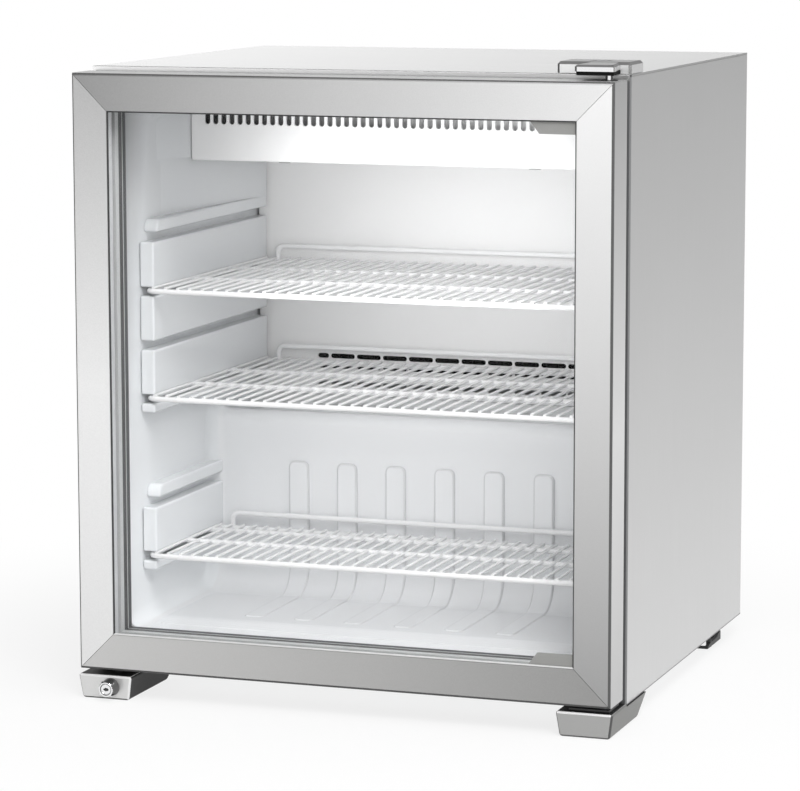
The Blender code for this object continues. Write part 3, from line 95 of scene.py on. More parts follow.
# Glazing, gasket and light bar
SEAL_ROOT = 0.0003
SEAL_SIGHT = 0.0014
SEAL_FRONT = 0.0012
SEAL_ROUND = 0.0003
BEAD_GAP = 0.0005
BEAD_SIGHT = 0.038
BEAD_FRONT = 0.0285
BEAD_BACK_GAP = 0.0003
BEAD_ROUND = 0.0005
GROOVE_DEPTH = 0.0015
BEAD_STRIP_FRONT = 0.037
BEAD_STRIP_BACK = 0.0470
STRIP_SUNK = 0.0004
STRIP_ROOT = 0.0018
STRIP_GAP = 0.0002
STRIP_ROUND = 0.0004
GASKET_GAP = 0.0003
GASKET_OUTSIDE = 0.016
GASKET_FOLD = 0.0195
GASKET_INSET = 0.0383
GASKET_TUCK = 0.003
GASKET_STEPS = (0.0, 0.28, 0.45, 0.62, 1.0)
GASKET_ROUND = 0.0006
LAMP_CAP = 0.012
LAMP_ROUND = 0.003
LAMP_CAP_PROUD = 0.0005
LAMP_CAP_ROUND = 0.0015
BUSH_PROFILE = ((0.0045, -0.010), (0.0045, 0.0007), (0.0085, 0.0007), (0.0088, 0.0003), (0.0088, -0.0002),
                (0.0065, -0.0002), (0.0065, -0.010))

# Cabinet
CABINET_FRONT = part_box("front_trim")[0].y
CABINET_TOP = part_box("top_panel")[1].z
CABINET_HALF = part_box("side_panel_right")[1].x
SHEET_GAP = 0.0002
SHEET_ROUND = 0.0004
TRIM_SHOWN = 0.0072
TRIM_SKIN = 0.001
HEM_RISE = 0.0011
HEM_PROUD = 0.0002
TOP_FOLD = 0.002
TOP_LIP = 0.0045
TOP_LIP_SKIN = 0.001
TOP_ROUND = 0.0006
MACHINE_FRONT = 0.064
MACHINE_TOP = 0.2335
FOAM_CLEAR = 0.0105

# Cold room
LINER_SKIN = 0.0025
ROOM_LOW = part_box("inner_liner")[0] + Vector((LINER_SKIN, 0, LINER_SKIN))
ROOM_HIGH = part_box("inner_liner")[1] - Vector((LINER_SKIN, LINER_SKIN, LINER_SKIN))
ROOM_MIDDLE = (ROOM_LOW + ROOM_HIGH) / 2
ROOM_HALF = (ROOM_HIGH - ROOM_LOW) / 2
HUMP_FACE = 0.0115
LEDGE = 0.281
ROOT_ROUND = 0.035
HUMP_ROUND = 0.014
ROOM_CORNER = 0.020
CEILING_CORNER = 0.022
FLARE = 0.0065
FLARE_DEPTH = 0.060
FLARE_CUTS = (0.25, 0.5, 0.75, 1.0)
FLANGE = 0.008

# Shelf rails and ribs
RAIL_DEPTH = 0.0145
RAIL_FRONT = -0.1825
RIDGE_FRONT = -0.171
RIDGE_NOSE = 0.010
RAIL_ROUND = 0.0025
RAIL_SINK = 0.002
RAIL_LEVELS = ((0.304, 0.314), (0.324, 0.3733), (0.3833, 0.4326), (0.4426, 0.4919), (0.5019, 0.5159))
LOW_RAIL_LEVELS = ((0.129, 0.139), (0.149, 0.1983), (0.2083, 0.2223))
RAIL_GAP = 0.004
PAD_FRONT = -0.165
PAD_FOOT = 0.512
RIB_COUNT = 6
RIB_PITCH = 0.0585
RIB_WIDTH = 0.024
RIB_PROUD = 0.0042
RIB_FLOOR_PROUD = 0.0015
RIB_ROOT = 0.006
RIB_CROWN = 0.007
RIB_ROUND = 0.0030
RIB_TOP = 0.2258
RIB_SHIFT = -0.0048
RIB_END = -0.138
FLOOR_STEP_HALF = 0.254
FLOOR_STEP_DEPTH = (-0.186, -0.030)
FLOOR_STEP_CORNER = 0.030
FLOOR_STEP_RISE = 0.0005

# Duct panel and air hood; the hood's heights are from its front's lower edge
PANEL_ROUND = 0.0008
SLOT_LEVELS = (0.292, 0.3125, 0.3245)
SLOT_HEIGHT = 0.0058
SLOT_START = -0.1675
SLOT_LENGTH = 0.0302
SLOT_GAP = 0.0022
SHORT_SLOT = 0.0140
SLOT_COUNT = 11
CUT_PAST = 0.002
FAN_GAP = 0.004
FAN_CUT = 0.004
HOOD_FRONT_HEIGHT = 0.063
HOOD_ROUND = 0.002
HOOD_SKIN = 0.0022
OUTLET_COUNT = 47
OUTLET_PITCH = 0.00965
OUTLET_WIDTH = 0.0062
OUTLET_LEVELS = (0.040, 0.0585)
OUTLET_CUT = (-0.004, 0.008)
HOOD_SEAL_FRONT = 0.055
HOOD_SEAL_TURN = 0.004
HOOD_SEAL_REAR = 0.030
HOOD_SEAL_FOOT = 0.003
# The outlet shade is a dark sheet behind the hood's slots that paints the shade seen through them.
OUTLET_SHADE_INSET = 0.004
OUTLET_SHADE_DEPTHS = (0.018, 0.019)
OUTLET_SHADE_LEVELS = (0.030, 0.0605)
OUTLET_SHADE_ROUND = 0.0003
CLIP_PLACES = (-0.134, 0.155)
CLIP_HALF = 0.006
CLIP_DEPTHS = (0.006, 0.014)
CLIP_LEVELS = (-0.0016, 0.001)
CLIP_ROUND = 0.0006

# Wire shelves
RIM_RADIUS = 0.003
GRID_RADIUS = 0.0017
GRID_INSET = 0.0085
GRID_SEAT = 0.4
GRID_LAP = 0.3
SHELF_LIFT = 0.0027
CROSS_RADIUS = 0.0028
CROSS_DROP = 0.0006
SHELF_WIRES = 35
RIM_BEND = 0.012
GUARD_INSET = 0.0235
GUARD_BEND = 0.008
UPPER_CROSS = (-0.0742, 0.0392)
LOWER_CROSS = (-0.0960, -0.0270)

# Feet
FOOT_WIDTH = 0.0625
FOOT_ROUND = 0.003
FOOT_PROUD = 0.0025
FOOT_GAP = 0.0003
FOOT_TAPER = 0.004
SOLE_SETBACK = 0.002
SOLE_LENGTH = 0.106
HEEL_TOP = 0.0105
HEEL_LENGTH = 0.005
HEEL_FOOT = (0.018, 0.0060)
TOE_CREST = (0.012, 0.0055)
TOE_TOP = 0.0025
REAR_FOOT_ROUND = 0.0008
FOOT_WALL = 0.004
FOOT_WINDOW = (0.003, 0.006)
WINDOW_PAST = 0.001
WEB_WIDTH = 0.006
WEB_DEPTH = 0.012
WEB_FOOT = 0.002
WEB_ROUND = 0.0015
BOSS_PROFILE = ((0.0032, 0.0), (0.0032, 0.0085), (0.0028, 0.009))
BOSS_OUT = 0.0168
BOSS_IN = 0.016

# Hinges
HINGE_AXIS = (0.287, -0.2455)
PIN_RADIUS = 0.004
PIN_TIP = 0.0006
PIN_SHADE = (0.95, 0.33)
HINGE_ENDS = (0.2185, 0.298)
HINGE_SETBACK = 0.012
HINGE_DEPTH = 0.049
HINGE_CHAMFER = 0.0030
HINGE_UPRIGHT = 0.002
CAP_RADIUS = 0.0125
CAP_HEIGHT = 0.004
CAP_SQUASH = 0.55
CAP_REACH = 0.026
CAP_DEPTH = 0.0012
ARM_LEFT = 0.253
ARM_ROOT = 0.2865
ARM_FOOT = 0.6895
ARM_LAP = 0.02
ARM_SUNK = 0.0005
ARM_CHAMFER = 0.0022
NOSE_CUT = 0.003
NOSE_RIGHT = 0.2955
NOSE_BLUNT = 0.001
# The black block under the hinge arm paints the shadow there.
HINGE_SHADOW_REAR = 0.006
HINGE_SHADOW_INSET = 0.001
HINGE_SHADOW_RIGHT = 0.2945
HINGE_SHADOW_FACE_END = 0.2938
HINGE_SHADOW_CUT = 0.004
HINGE_SHADOW_ROOT = 0.2885
HINGE_SHADOW_FOOT = 0.0010
HINGE_SHADOW_GAP = 0.0002
HINGE_SHADOW_ROUND = 0.0003
HINGE_PLATE_ROUND = 0.0006

# Lock: noses are (radius, depth behind the front), the flange is (radius, depth before the foot)
LOCK_BORE = 0.0062
LOCK_NOSE = ((0.0062, 0.0005), (0.0066, 0.0), (0.0078, 0.0), (0.0082, 0.0004))
LOCK_FLANGE = ((0.0098, 0.0022), (0.0100, 0.0015), (0.0100, 0.0))
LOCK_SHANK = 0.0075
LOCK_NOTCH = ((0.0079, -0.0010, 0.001), (0.0118, 0.0010, 0.0085))
LOCK_TICK = ((0.0076, 0.0010, 0.001), (0.0095, 0.0020, 0.0065))
LOCK_MARKS = (40, 130, 220, 310)
PLUG_NOSE = ((0.0051, 0.0002), (0.0053, 0.0), (0.0057, 0.0), (0.0060, 0.0004))
PLUG_RADIUS = 0.0060
KEYHOLE = ((-0.0034, 0.0), (-0.0006, -0.0020), (0.0026, -0.0014), (0.0034, 0.0), (0.0026, 0.0014),
           (-0.0006, 0.0020))
KEYHOLE_CUT = (-0.001, 0.004)
SHUTTER_SHARE = 0.98
SHUTTER_DEPTHS = (0.0006, 0.0038)

# Back sheet and its screws, whose profile is in shares of their radius and height
SKIN_ROUND = 0.0003
BACK_RIB_PLACES = (-0.20, -0.10, 0.0, 0.10, 0.20)
BACK_RIB_HALF = 0.009
BACK_RIB_LEVELS = (0.280, 0.640)
BACK_RIB_HEIGHT = 0.0026
BACK_RIB_ROOT = 0.00044
BACK_HEM = 0.0035
BACK_HEM_RISE = 0.0009
BACK_HEM_ROUND = 0.0004
SCREW_RADIUS = 0.0042
SCREW_HEIGHT = 0.0022
SCREW_PROFILE = ((1.0, 0.0), (1.0, 0.35), (0.82, 0.8), (0.4, 1.0))
RECESS_REACH = 0.62
RECESS_HALF = 0.14
RECESS_DEPTHS = (0.45, 1.3)
BACK_SCREWS = [(side * 0.2905, level) for side in (-1, 1) for level in (0.245, 0.388, 0.531, 0.674)]
BACK_SCREWS += [(place, level) for place in (-0.145, 0.0, 0.145) for level in (0.2415, 0.6755)]
GRILLE_SCREWS = [(side * 0.2905, level) for side in (-1, 1) for level in (0.034, 0.129, 0.2245)]
GRILLE_SCREWS += [(-0.15, 0.2245), (0.15, 0.2245), (0.0, 0.034)]

# Grille and its controls
LOUVRE_STARTS = (-0.2247, 0.0447)
LOUVRE_LENGTH = 0.150
LOUVRE_COUNT = 9
LOUVRE_RISE = 0.021
LOUVRE_PITCH = 0.012
LOUVRE_HEIGHT = 0.005
LOUVRE_LAP = 0.0022
LOUVRE_REACH = 0.0048
LOUVRE_SKIN = 0.0008
LOUVRE_STEPS = 6
GRILLE_HOLES = (("thermostat_knob", 0.0036), ("mains_gland", 0.0083))
SWITCH_GAP = 0.0005
KNOB_SEAT = 0.0005
KNOB_SPINDLE = 0.003
KNOB_SKIRT = 0.0035
KNOB_GRIP = 0.0128
KNOB_EASE = 0.0005
KNOB_DRAFT = 0.0004
KNOB_SHOULDER = 0.0010
KNOB_DISH = ((0.009, 0.0), (0.008, 0.0006))
KNOB_FLUTES = 18
FLUTE_RADIUS = 0.0012
FLUTE_OUT = 0.0003
FLUTE_LIFT = 0.0004
POINTER_HALF = 0.0007
POINTER_SUNK = 0.0004
POINTER_GAP = 0.0002
POINTER_START = 0.0085
POINTER_END = 0.0016
POINTER_FOOT = 0.0006
POINTER_ROUND = 0.0001
SCALE_TICKS = 11
SCALE_TURN = math.radians(270)
SCALE_RADIUS = 0.0178
TICK_HALF = 0.0004
TICK_PROUD = 0.0002
TICK_LENGTH = 0.0012
TICK_GROWTH = 0.0022
ROCKER_STEPS = 16
ROCKER_RISE = 0.0026
ROCKER_WAIST = 0.0058
ROCKER_ROUND = 0.0005
MARK_RING = (0.0011, 0.0016)
MARK_BAR = 0.0016
MARK_HALF = 0.0003
MARK_SUNK = 0.0003
MARK_PROUD = 0.0001
BEZEL_GAP = (0.0012, 0.0018)
BEZEL_WIDTH = 0.0030
BEZEL_RISE = 0.0013
BEZEL_ROUND = 0.0005
GLAND_SEAT = 0.0003
GLAND_BORE = 0.0045
GLAND_BODY = 0.0080
GLAND_FLANGE = ((-0.0004, 0.0), (0.0, 0.0004), (0.0, 0.0016), (-0.0008, 0.0026))
GLAND_NECK = ((0.0010, 0.0028), (0.0010, 0.0036))
GLAND_MOUTH = 0.0008
NUT_FOOT = 0.0034
NUT_EDGE = ((0.0022, 0.0025), (-0.0005, 0.0004), (-0.0010, 0.0))
NUT_LIP = ((0.0006, 0.0), (0.0002, 0.0006))

FULL_TURN = 2 * math.pi
SHARP = math.radians(30)
TINY = 1e-5
UP = (0, 0, 1)
REARWARD = (0, 1, 0)


# Mesh makers

def lay(axis, first, second, along):
    """A point from two coordinates across an axis, in order, and one along it."""
    if axis == "X":
        return Vector((along, first, second))
    if axis == "Y":
        return Vector((first, along, second))
    return Vector((first, second, along))


def face_out(mesh):
    bmesh.ops.recalc_face_normals(mesh, faces=mesh.faces)
    return mesh


def bevel(mesh, geom, width, segments, affect="EDGES", clamp=False):
    bmesh.ops.bevel(mesh, geom=geom, offset=width, segments=segments, profile=0.5, affect=affect, material=-1,
                    clamp_overlap=clamp)
    return mesh


def bisect(mesh, place, normal, reach, clear=False):
    return bmesh.ops.bisect_plane(mesh, geom=mesh.verts[:] + mesh.edges[:] + mesh.faces[:], dist=reach,
                                  plane_co=place, plane_no=normal, clear_outer=clear)


def block(low, high):
    mesh = bmesh.new()
    low, high = Vector(low), Vector(high)
    size = Matrix.Diagonal((*(high - low), 1.0))
    bmesh.ops.create_cube(mesh, size=1.0, matrix=Matrix.Translation((low + high) / 2) @ size)
    return mesh


def sharp_edges(mesh, pick=None):
    edges = [edge for edge in mesh.edges if edge.is_manifold and edge.calc_face_angle(0.0) > SHARP]
    return [edge for edge in edges if pick is None or pick(edge)]


def round_edges(mesh, width, segments=3, pick=None):
    return bevel(mesh, sharp_edges(mesh, pick), width, segments, clamp=True)


def lies_at(item, axis, level):
    """Whether an edge or a face lies wholly at one level of an axis."""
    return all(abs(getattr(vert.co, axis) - level) < TINY for vert in item.verts)


def on_one_side(edge):
    """Whether both ends of an edge have the same place across the object."""
    return abs(edge.verts[0].co.x - edge.verts[1].co.x) < TINY


def side_corners(mesh):
    """Edges where a side face meets the rest."""
    turns = [(edge, [abs(face.normal.x) for face in edge.link_faces]) for edge in mesh.edges]
    return [edge for edge, turn in turns if len(turn) == 2 and max(turn) > 0.9 and min(turn) < 0.1]


def mark(mesh, number, pick):
    """Give the faces whose normal is picked another of the piece's finishes."""
    for face in mesh.faces:
        face.normal_update()
        if pick(face.normal):
            face.material_index = number


def kind_of(items, kind):
    return [item for item in items if isinstance(item, kind)]


def grown_verts(result, key="geom"):
    return kind_of(result[key], bmesh.types.BMVert)


def prism(points, run, rounds=()):
    """Extrude an outline along a run; rounds are (corner number, radius, segments)."""
    mesh = bmesh.new()
    corners = [mesh.verts.new(point) for point in points]
    mesh.faces.new(corners)
    for number, radius, segments in rounds:
        bevel(mesh, [corners[number]], radius, segments, "VERTICES")
    result = bmesh.ops.extrude_face_region(mesh, geom=mesh.faces[:])
    bmesh.ops.translate(mesh, verts=grown_verts(result), vec=run)
    return face_out(mesh)


def slab(outline, axis, start, end, rounds=()):
    """Extrude an outline along an axis."""
    return prism([lay(axis, a, b, start) for a, b in outline], lay(axis, 0.0, 0.0, end - start), rounds)


def corners_of(a0, a1, b0, b1):
    return [(a0, b0), (a1, b0), (a1, b1), (a0, b1)]


def four_rounds(radius, steps):
    return [(number, radius, steps) for number in range(4)]


def pill(low_x, high_x, low_z, high_z, near, far, steps=5):
    """A round-ended bar through a sheet."""
    radius = min(high_x - low_x, high_z - low_z) / 2
    return slab(corners_of(low_x, high_x, low_z, high_z), "Y", near, far, four_rounds(radius * 0.999, steps))


def aimed(centre, axis):
    turn = Vector(UP).rotation_difference(Vector(axis)).to_matrix().to_4x4()
    return Matrix.Translation(centre) @ turn


def turned(profile, centre, axis, steps=48):
    """Spin a profile of (radius, height) points about an axis."""
    mesh = bmesh.new()
    points = [mesh.verts.new((radius, 0.0, height)) for radius, height in profile]
    edges = [mesh.edges.new(pair) for pair in zip(points, points[1:])]
    bmesh.ops.spin(mesh, geom=points + edges, cent=(0, 0, 0), axis=UP, dvec=(0, 0, 0), angle=FULL_TURN,
                   steps=steps, use_merge=True, use_duplicate=False)
    bmesh.ops.remove_doubles(mesh, verts=mesh.verts, dist=TINY / 10)
    face_out(mesh)
    bmesh.ops.transform(mesh, matrix=aimed(centre, axis), verts=mesh.verts)
    return mesh


def disc_stack(profile, centre, axis, steps=48):
    """A closed turned body: the profile starts and ends on the axis."""
    whole = [(0.0, profile[0][1])] + list(profile) + [(0.0, profile[-1][1])]
    return turned(whole, centre, axis, steps)


def collar(profile, centre, axis, steps=48):
    """A closed turned ring: the profile returns to its first point."""
    return turned(list(profile) + [profile[0]], centre, axis, steps)


def ring_edges(verts):
    kept = set(verts)
    return [edge for edge in {e for v in verts for e in v.link_edges} if kept.issuperset(edge.verts)]


def ring_of(loops):
    """A closed frame through rectangles (x0, x1, z0, z1) at their depths."""
    mesh = bmesh.new()
    (x0, x1, z0, z1), y = loops[0]
    ring = [mesh.verts.new((x, y, z)) for x, z in corners_of(x0, x1, z0, z1)]
    edges = [mesh.edges.new((ring[step - 1], ring[step])) for step in range(4)]
    middle_x, middle_z = (x0 + x1) / 2, (z0 + z1) / 2
    for (x0, x1, z0, z1), y in loops[1:] + loops[:1]:
        ring = grown_verts(bmesh.ops.extrude_edge_only(mesh, edges=edges))
        for vert in ring:
            vert.co = (x1 if vert.co.x > middle_x else x0, y, z1 if vert.co.z > middle_z else z0)
        edges = ring_edges(ring)
    bmesh.ops.remove_doubles(mesh, verts=mesh.verts, dist=TINY)
    return face_out(mesh)


def tube_ring(outer, inner, near, far):
    """A plain closed frame between two rectangles and two depths."""
    return ring_of([(outer, near), (outer, far), (inner, far), (inner, near)])


def inset(rectangle, amount):
    x0, x1, z0, z1 = rectangle
    return (x0 + amount, x1 - amount, z0 + amount, z1 - amount)


def rod(mesh, start, end, radius, sides=8):
    start, end = Vector(start), Vector(end)
    run = end - start
    bmesh.ops.create_cone(mesh, cap_ends=True, cap_tris=False, segments=sides, radius1=radius, radius2=radius,
                          depth=run.length, matrix=aimed((start + end) / 2, run))


def wire(mesh, points, radius, bend, sides=10, closed=False):
    """Sweep a round wire along straight runs, with every corner turned on a bend radius."""
    points = [Vector(point) for point in points]
    heading = (points[1] - points[0]).normalized()
    ring = bmesh.ops.create_circle(mesh, cap_ends=not closed, radius=radius, segments=sides,
                                   matrix=aimed(points[0], heading))["verts"]
    first = ring
    place = points[0]
    for number, corner in enumerate(points[1:], 1):
        last = number == len(points) - 1
        way = (corner - place).normalized()
        after = way if last else (points[number + 1] - corner).normalized()
        angle = way.angle(after)
        stop = corner if last else corner - way * bend * math.tan(angle / 2)
        ring = grown_verts(bmesh.ops.extrude_edge_only(mesh, edges=ring_edges(ring)))
        bmesh.ops.translate(mesh, verts=ring, vec=stop - place)
        place = stop
        if last:
            continue
        axis = way.cross(after).normalized()
        centre = stop + axis.cross(way) * bend
        result = bmesh.ops.spin(mesh, geom=ring + ring_edges(ring), cent=centre, axis=axis, dvec=(0, 0, 0),
                                angle=angle, steps=6, use_merge=False, use_duplicate=False)
        ring = grown_verts(result, "geom_last")
        place = corner + after * bend * math.tan(angle / 2)
    if closed:
        bmesh.ops.remove_doubles(mesh, verts=first + ring, dist=radius / 10)
    else:
        bmesh.ops.edgeloop_fill(mesh, edges=ring_edges(ring))
    face_out(mesh)


def gather(meshes):
    """Put several meshes into one."""
    whole = bmesh.new()
    for mesh in meshes:
        data = bpy.data.meshes.new("gather")
        mesh.to_mesh(data)
        mesh.free()
        whole.from_mesh(data)
        bpy.data.meshes.remove(data)
    return whole


def new_object(name, mesh):
    data = bpy.data.meshes.new(name)
    mesh.to_mesh(data)
    mesh.free()
    item = bpy.data.objects.new(name, data)
    bpy.context.scene.collection.objects.link(item)
    return item


def drilled(mesh, cutter):
    """The mesh with the cutter's bodies taken out of it."""
    item = new_object("drilled", mesh)
    tool = new_object("drill", cutter)
    step = item.modifiers.new("holes", "BOOLEAN")
    step.object = tool
    step.operation = "DIFFERENCE"
    step.solver = "EXACT"
    view = bpy.context.evaluated_depsgraph_get()
    result = bmesh.new()
    data = bpy.data.meshes.new_from_object(item.evaluated_get(view))
    result.from_mesh(data)
    for old in (item, tool):
        shape = old.data
        bpy.data.objects.remove(old)
        bpy.data.meshes.remove(shape)
    bpy.data.meshes.remove(data)
    return result


def piece(name, mesh, finish, body, nodes=(), angle=35, more=()):
    """Make a shown piece of a mesh, on its CAD body, standing for the CAD nodes it is given."""
    item = new_object(name, mesh)
    for shown in (finish, *more):
        item.data.materials.append(shown)
    item.data.shade_smooth()
    item.data.set_sharp_from_angle(angle=math.radians(angle))
    even = item.modifiers.new("even_shading", "WEIGHTED_NORMAL")
    even.keep_sharp = True
    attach(item, body)
    if nodes:
        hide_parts(*nodes)
    return item


def dress(node, finish):
    """Give a CAD node that stays in view its own finish."""
    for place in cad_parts[node].material_slots:
        place.material = finish


def hub(node):
    """Where an axis along the depth passes through the middle of a CAD node."""
    low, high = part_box(node)
    return (low.x + high.x) / 2, (low.z + high.z) / 2


# Shader tools

def add_node(tree, kind, values=None, **settings):
    """A node with its settings, whose sockets take a value or another node's output."""
    made = tree.nodes.new(kind)
    for key, value in settings.items():
        setattr(made, key, value)
    for socket, value in (values or {}).items():
        if isinstance(value, bpy.types.NodeSocket):
            tree.links.new(value, made.inputs[socket])
        else:
            made.inputs[socket].default_value = value
    return made


def maths(tree, operation, *values):
    return add_node(tree, "ShaderNodeMath", dict(enumerate(values)), operation=operation).outputs[0]


def vector_maths(tree, operation, *values, output="Vector"):
    made = add_node(tree, "ShaderNodeVectorMath", dict(enumerate(values)), operation=operation)
    return made.outputs[output]


def tint(tree, colour, shade):
    return add_node(tree, "ShaderNodeVectorMath", {0: colour, "Scale": shade}, operation="SCALE").outputs[0]


def noise(tree, place, scale):
    return add_node(tree, "ShaderNodeTexNoise", {"Vector": place, "Scale": scale, "Detail": 2.0}).outputs


def map_range(tree, value, source, target, **settings):
    values = {"Value": value, "From Min": source[0], "From Max": source[1], "To Min": target[0],
              "To Max": target[1]}
    return add_node(tree, "ShaderNodeMapRange", values, **settings).outputs[0]


def object_place(tree):
    return add_node(tree, "ShaderNodeTexCoord").outputs["Object"]


SURFACE_OUTPUTS = (("Colour", "Color"), ("Roughness", "Float"), ("Height", "Float"))


def new_group(name, inputs):
    """A surface group with its inputs, and what it gives to a shader."""
    group = bpy.data.node_groups.new(name, "ShaderNodeTree")
    for way, sockets in (("INPUT", inputs), ("OUTPUT", SURFACE_OUTPUTS)):
        for label, kind in sockets:
            group.interface.new_socket(label, in_out=way, socket_type="NodeSocket" + kind)
    return group, group.nodes.new("NodeGroupInput").outputs, group.nodes.new("NodeGroupOutput").inputs


def give(group, out, colour, roughness, height):
    for socket, label in ((colour, "Colour"), (roughness, "Roughness"), (height, "Height")):
        group.links.new(socket, out[label])
    return group


def make_grain_group():
    """Fine grain over broad clouds, and fades along the object that paint light and shade: shades a colour
    and a roughness, and gives a height for bump.
    """
    group, given, out = new_group("surface_grain", (
        ("Colour", "Color"), ("Roughness", "Float"), ("Scale", "Vector"), ("Spread", "Float"),
        ("Cloud Scale", "Float"), ("Clouds", "Float"), ("Rough Spread", "Float"), ("Fade", "Vector"),
        ("Fade Start", "Vector"), ("Second Fade", "Vector"), ("Second Start", "Vector")))
    place = object_place(group)
    fine = noise(group, vector_maths(group, "MULTIPLY", place, given["Scale"]), 1.0)["Fac"]
    broad = noise(group, place, given["Cloud Scale"])["Fac"]
    fine_swing = maths(group, "SUBTRACT", fine, 0.5)
    broad_swing = maths(group, "SUBTRACT", broad, 0.5)
    shade = maths(group, "MULTIPLY_ADD", fine_swing, given["Spread"], 1.0)
    shade = maths(group, "MULTIPLY_ADD", broad_swing, given["Clouds"], shade)
    fades = []
    for slope, start in (("Fade", "Fade Start"), ("Second Fade", "Second Start")):
        away = vector_maths(group, "SUBTRACT", place, given[start])
        fades.append(vector_maths(group, "DOT_PRODUCT", away, given[slope], output="Value"))
    shade = maths(group, "ADD", shade, maths(group, "MINIMUM", *fades))
    rough = maths(group, "MULTIPLY_ADD", fine_swing, given["Rough Spread"], given["Roughness"])
    return give(group, out, tint(group, given["Colour"], shade), rough, fine)


def make_spangle_group():
    """Crystal flowers of zinc plating."""
    group, given, out = new_group("zinc_spangle", (
        ("Colour", "Color"), ("Roughness", "Float"), ("Scale", "Float")))
    place = object_place(group)
    wander = noise(group, place, 90.0)["Color"]
    bent = vector_maths(group, "MULTIPLY_ADD", wander, (0.006, 0.006, 0.006), place)
    cells = add_node(group, "ShaderNodeTexVoronoi", {"Vector": bent, "Scale": given["Scale"]})
    tone = add_node(group, "ShaderNodeSeparateColor", {"Color": cells.outputs["Color"]}).outputs
    shade = map_range(group, tone[0], (0.0, 1.0), (0.88, 1.08))
    swing = map_range(group, tone[1], (0.0, 1.0), (-0.08, 0.08))
    rough = maths(group, "ADD", swing, given["Roughness"])
    return give(group, out, tint(group, given["Colour"], shade), rough, tone[2])


def new_finish(name, metallic=0.0, sockets=None):
    """A material with its Principled shader, whose constant sockets are set on the shader itself."""
    material = bpy.data.materials.new(name)
    material.use_nodes = True
    shader = material.node_tree.nodes["Principled BSDF"]
    shader.inputs["Metallic"].default_value = metallic
    for socket, value in (sockets or {}).items():
        shader.inputs[socket].default_value = value
    return material, shader


def wear_group(material, shader, group, values, bump):
    """Run a surface group into a material's shader, with its height as bump in metres."""
    tree = material.node_tree
    coat = add_node(tree, "ShaderNodeGroup", node_tree=group)
    for socket, value in values.items():
        coat.inputs[socket].default_value = value
    tree.links.new(coat.outputs["Colour"], shader.inputs["Base Color"])
    tree.links.new(coat.outputs["Roughness"], shader.inputs["Roughness"])
    if bump:
        relief = add_node(tree, "ShaderNodeBump", {"Height": coat.outputs["Height"], "Distance": bump,
                                                   "Strength": 1.0})
        tree.links.new(relief.outputs["Normal"], shader.inputs["Normal"])
    return material


GRAIN = make_grain_group()
SPANGLE = make_spangle_group()


def three(value):
    """One number as a grey or as an even scale; three stay as they are."""
    return value if isinstance(value, tuple) else (value, value, value)


def grained(name, colour, roughness, scale, spread, clouds=0.02, cloud_scale=7.0, rough_spread=0.1,
            metallic=0.0, bump=0.0, fade=(0, 0, 0), start=(0, 0, 0), second=None, specular=None):
    """A finish of one colour with grain, clouds and a slow change of tone along the object, per metre, which
    paints light and shade.

    Where a second fade and its start are given, the darker of the two holds.
    """
    sockets = {} if specular is None else {"Specular IOR Level": specular}
    material, shader = new_finish(name, metallic, sockets)
    values = {"Colour": (*three(colour), 1.0), "Roughness": roughness, "Scale": three(scale),
              "Spread": spread, "Cloud Scale": cloud_scale, "Clouds": clouds, "Rough Spread": rough_spread,
              "Fade": fade, "Fade Start": start}
    values["Second Fade"], values["Second Start"] = second or (fade, start)
    return wear_group(material, shader, GRAIN, values, bump)


SILVER = {"roughness": 0.40, "scale": 1100, "spread": 0.16, "metallic": 0.75, "bump": 0.00002}
FOOT_SILVER = {"roughness": 0.36, "scale": 1100, "spread": 0.12, "metallic": 0.6, "bump": 0.00002}
MOULDED = {"roughness": 0.12, "scale": 300, "spread": 0.012, "clouds": 0.015, "rough_spread": 0.05,
           "bump": 0.000006}
BRUSHED = {"spread": 0.10, "cloud_scale": 3.0, "metallic": 0.7, "bump": 0.00001}

# The frame's finishes are lit and shaded copies of one silver: each bar's base tone and fades paint the light
# and shade along it, frame_side and frame_crown are painted tones for the stiles' sides and the top rail's
# top, and frame_edge paints a dark reflection on the rounded front edge.
STILE_LEFT = grained("frame_left", 0.91, **SILVER, fade=(0, 0, -1.24), start=(0, 0, 0.311),
                     second=((0, 0, 0.30), (0, 0, 0.487)))
STILE_RIGHT = grained("frame_right", 0.327, **SILVER, fade=(0, 0, 2.72))
RAIL_TOP = grained("frame_top", 0.59, **SILVER, fade=(1.49, 0, 0))
RAIL_BOTTOM = grained("frame_bottom", (0.458, 0.456, 0.451), **SILVER, fade=(-1.0, 0, 0))
STILE_SIDE = grained("frame_side", 0.70, **SILVER, fade=(0, 0, -1.41), start=(0, 0, 0.281),
                     second=((0, 0, 0.66), (0, 0, 0.396)))
RAIL_CROWN = grained("frame_crown", 0.80, **SILVER)
FRAME_EDGE = grained("frame_edge", 0.10, 0.60, 1100, 0.16, bump=0.00002, specular=0.15)
# The glazing seal's black is its own colour and also paints the shaded line between the frame's lip and the
# glass.
SEAL_BLACK = grained("glazing_seal", 0.05, 0.6, 900, 0.10)
# Darker metal that paints the shaded line along the top sheet's sides; the side sheets' hems wear it too.
FOLD_EDGE = grained("fold_edge", 0.26, 0.40, 900, 0.10, metallic=0.6)
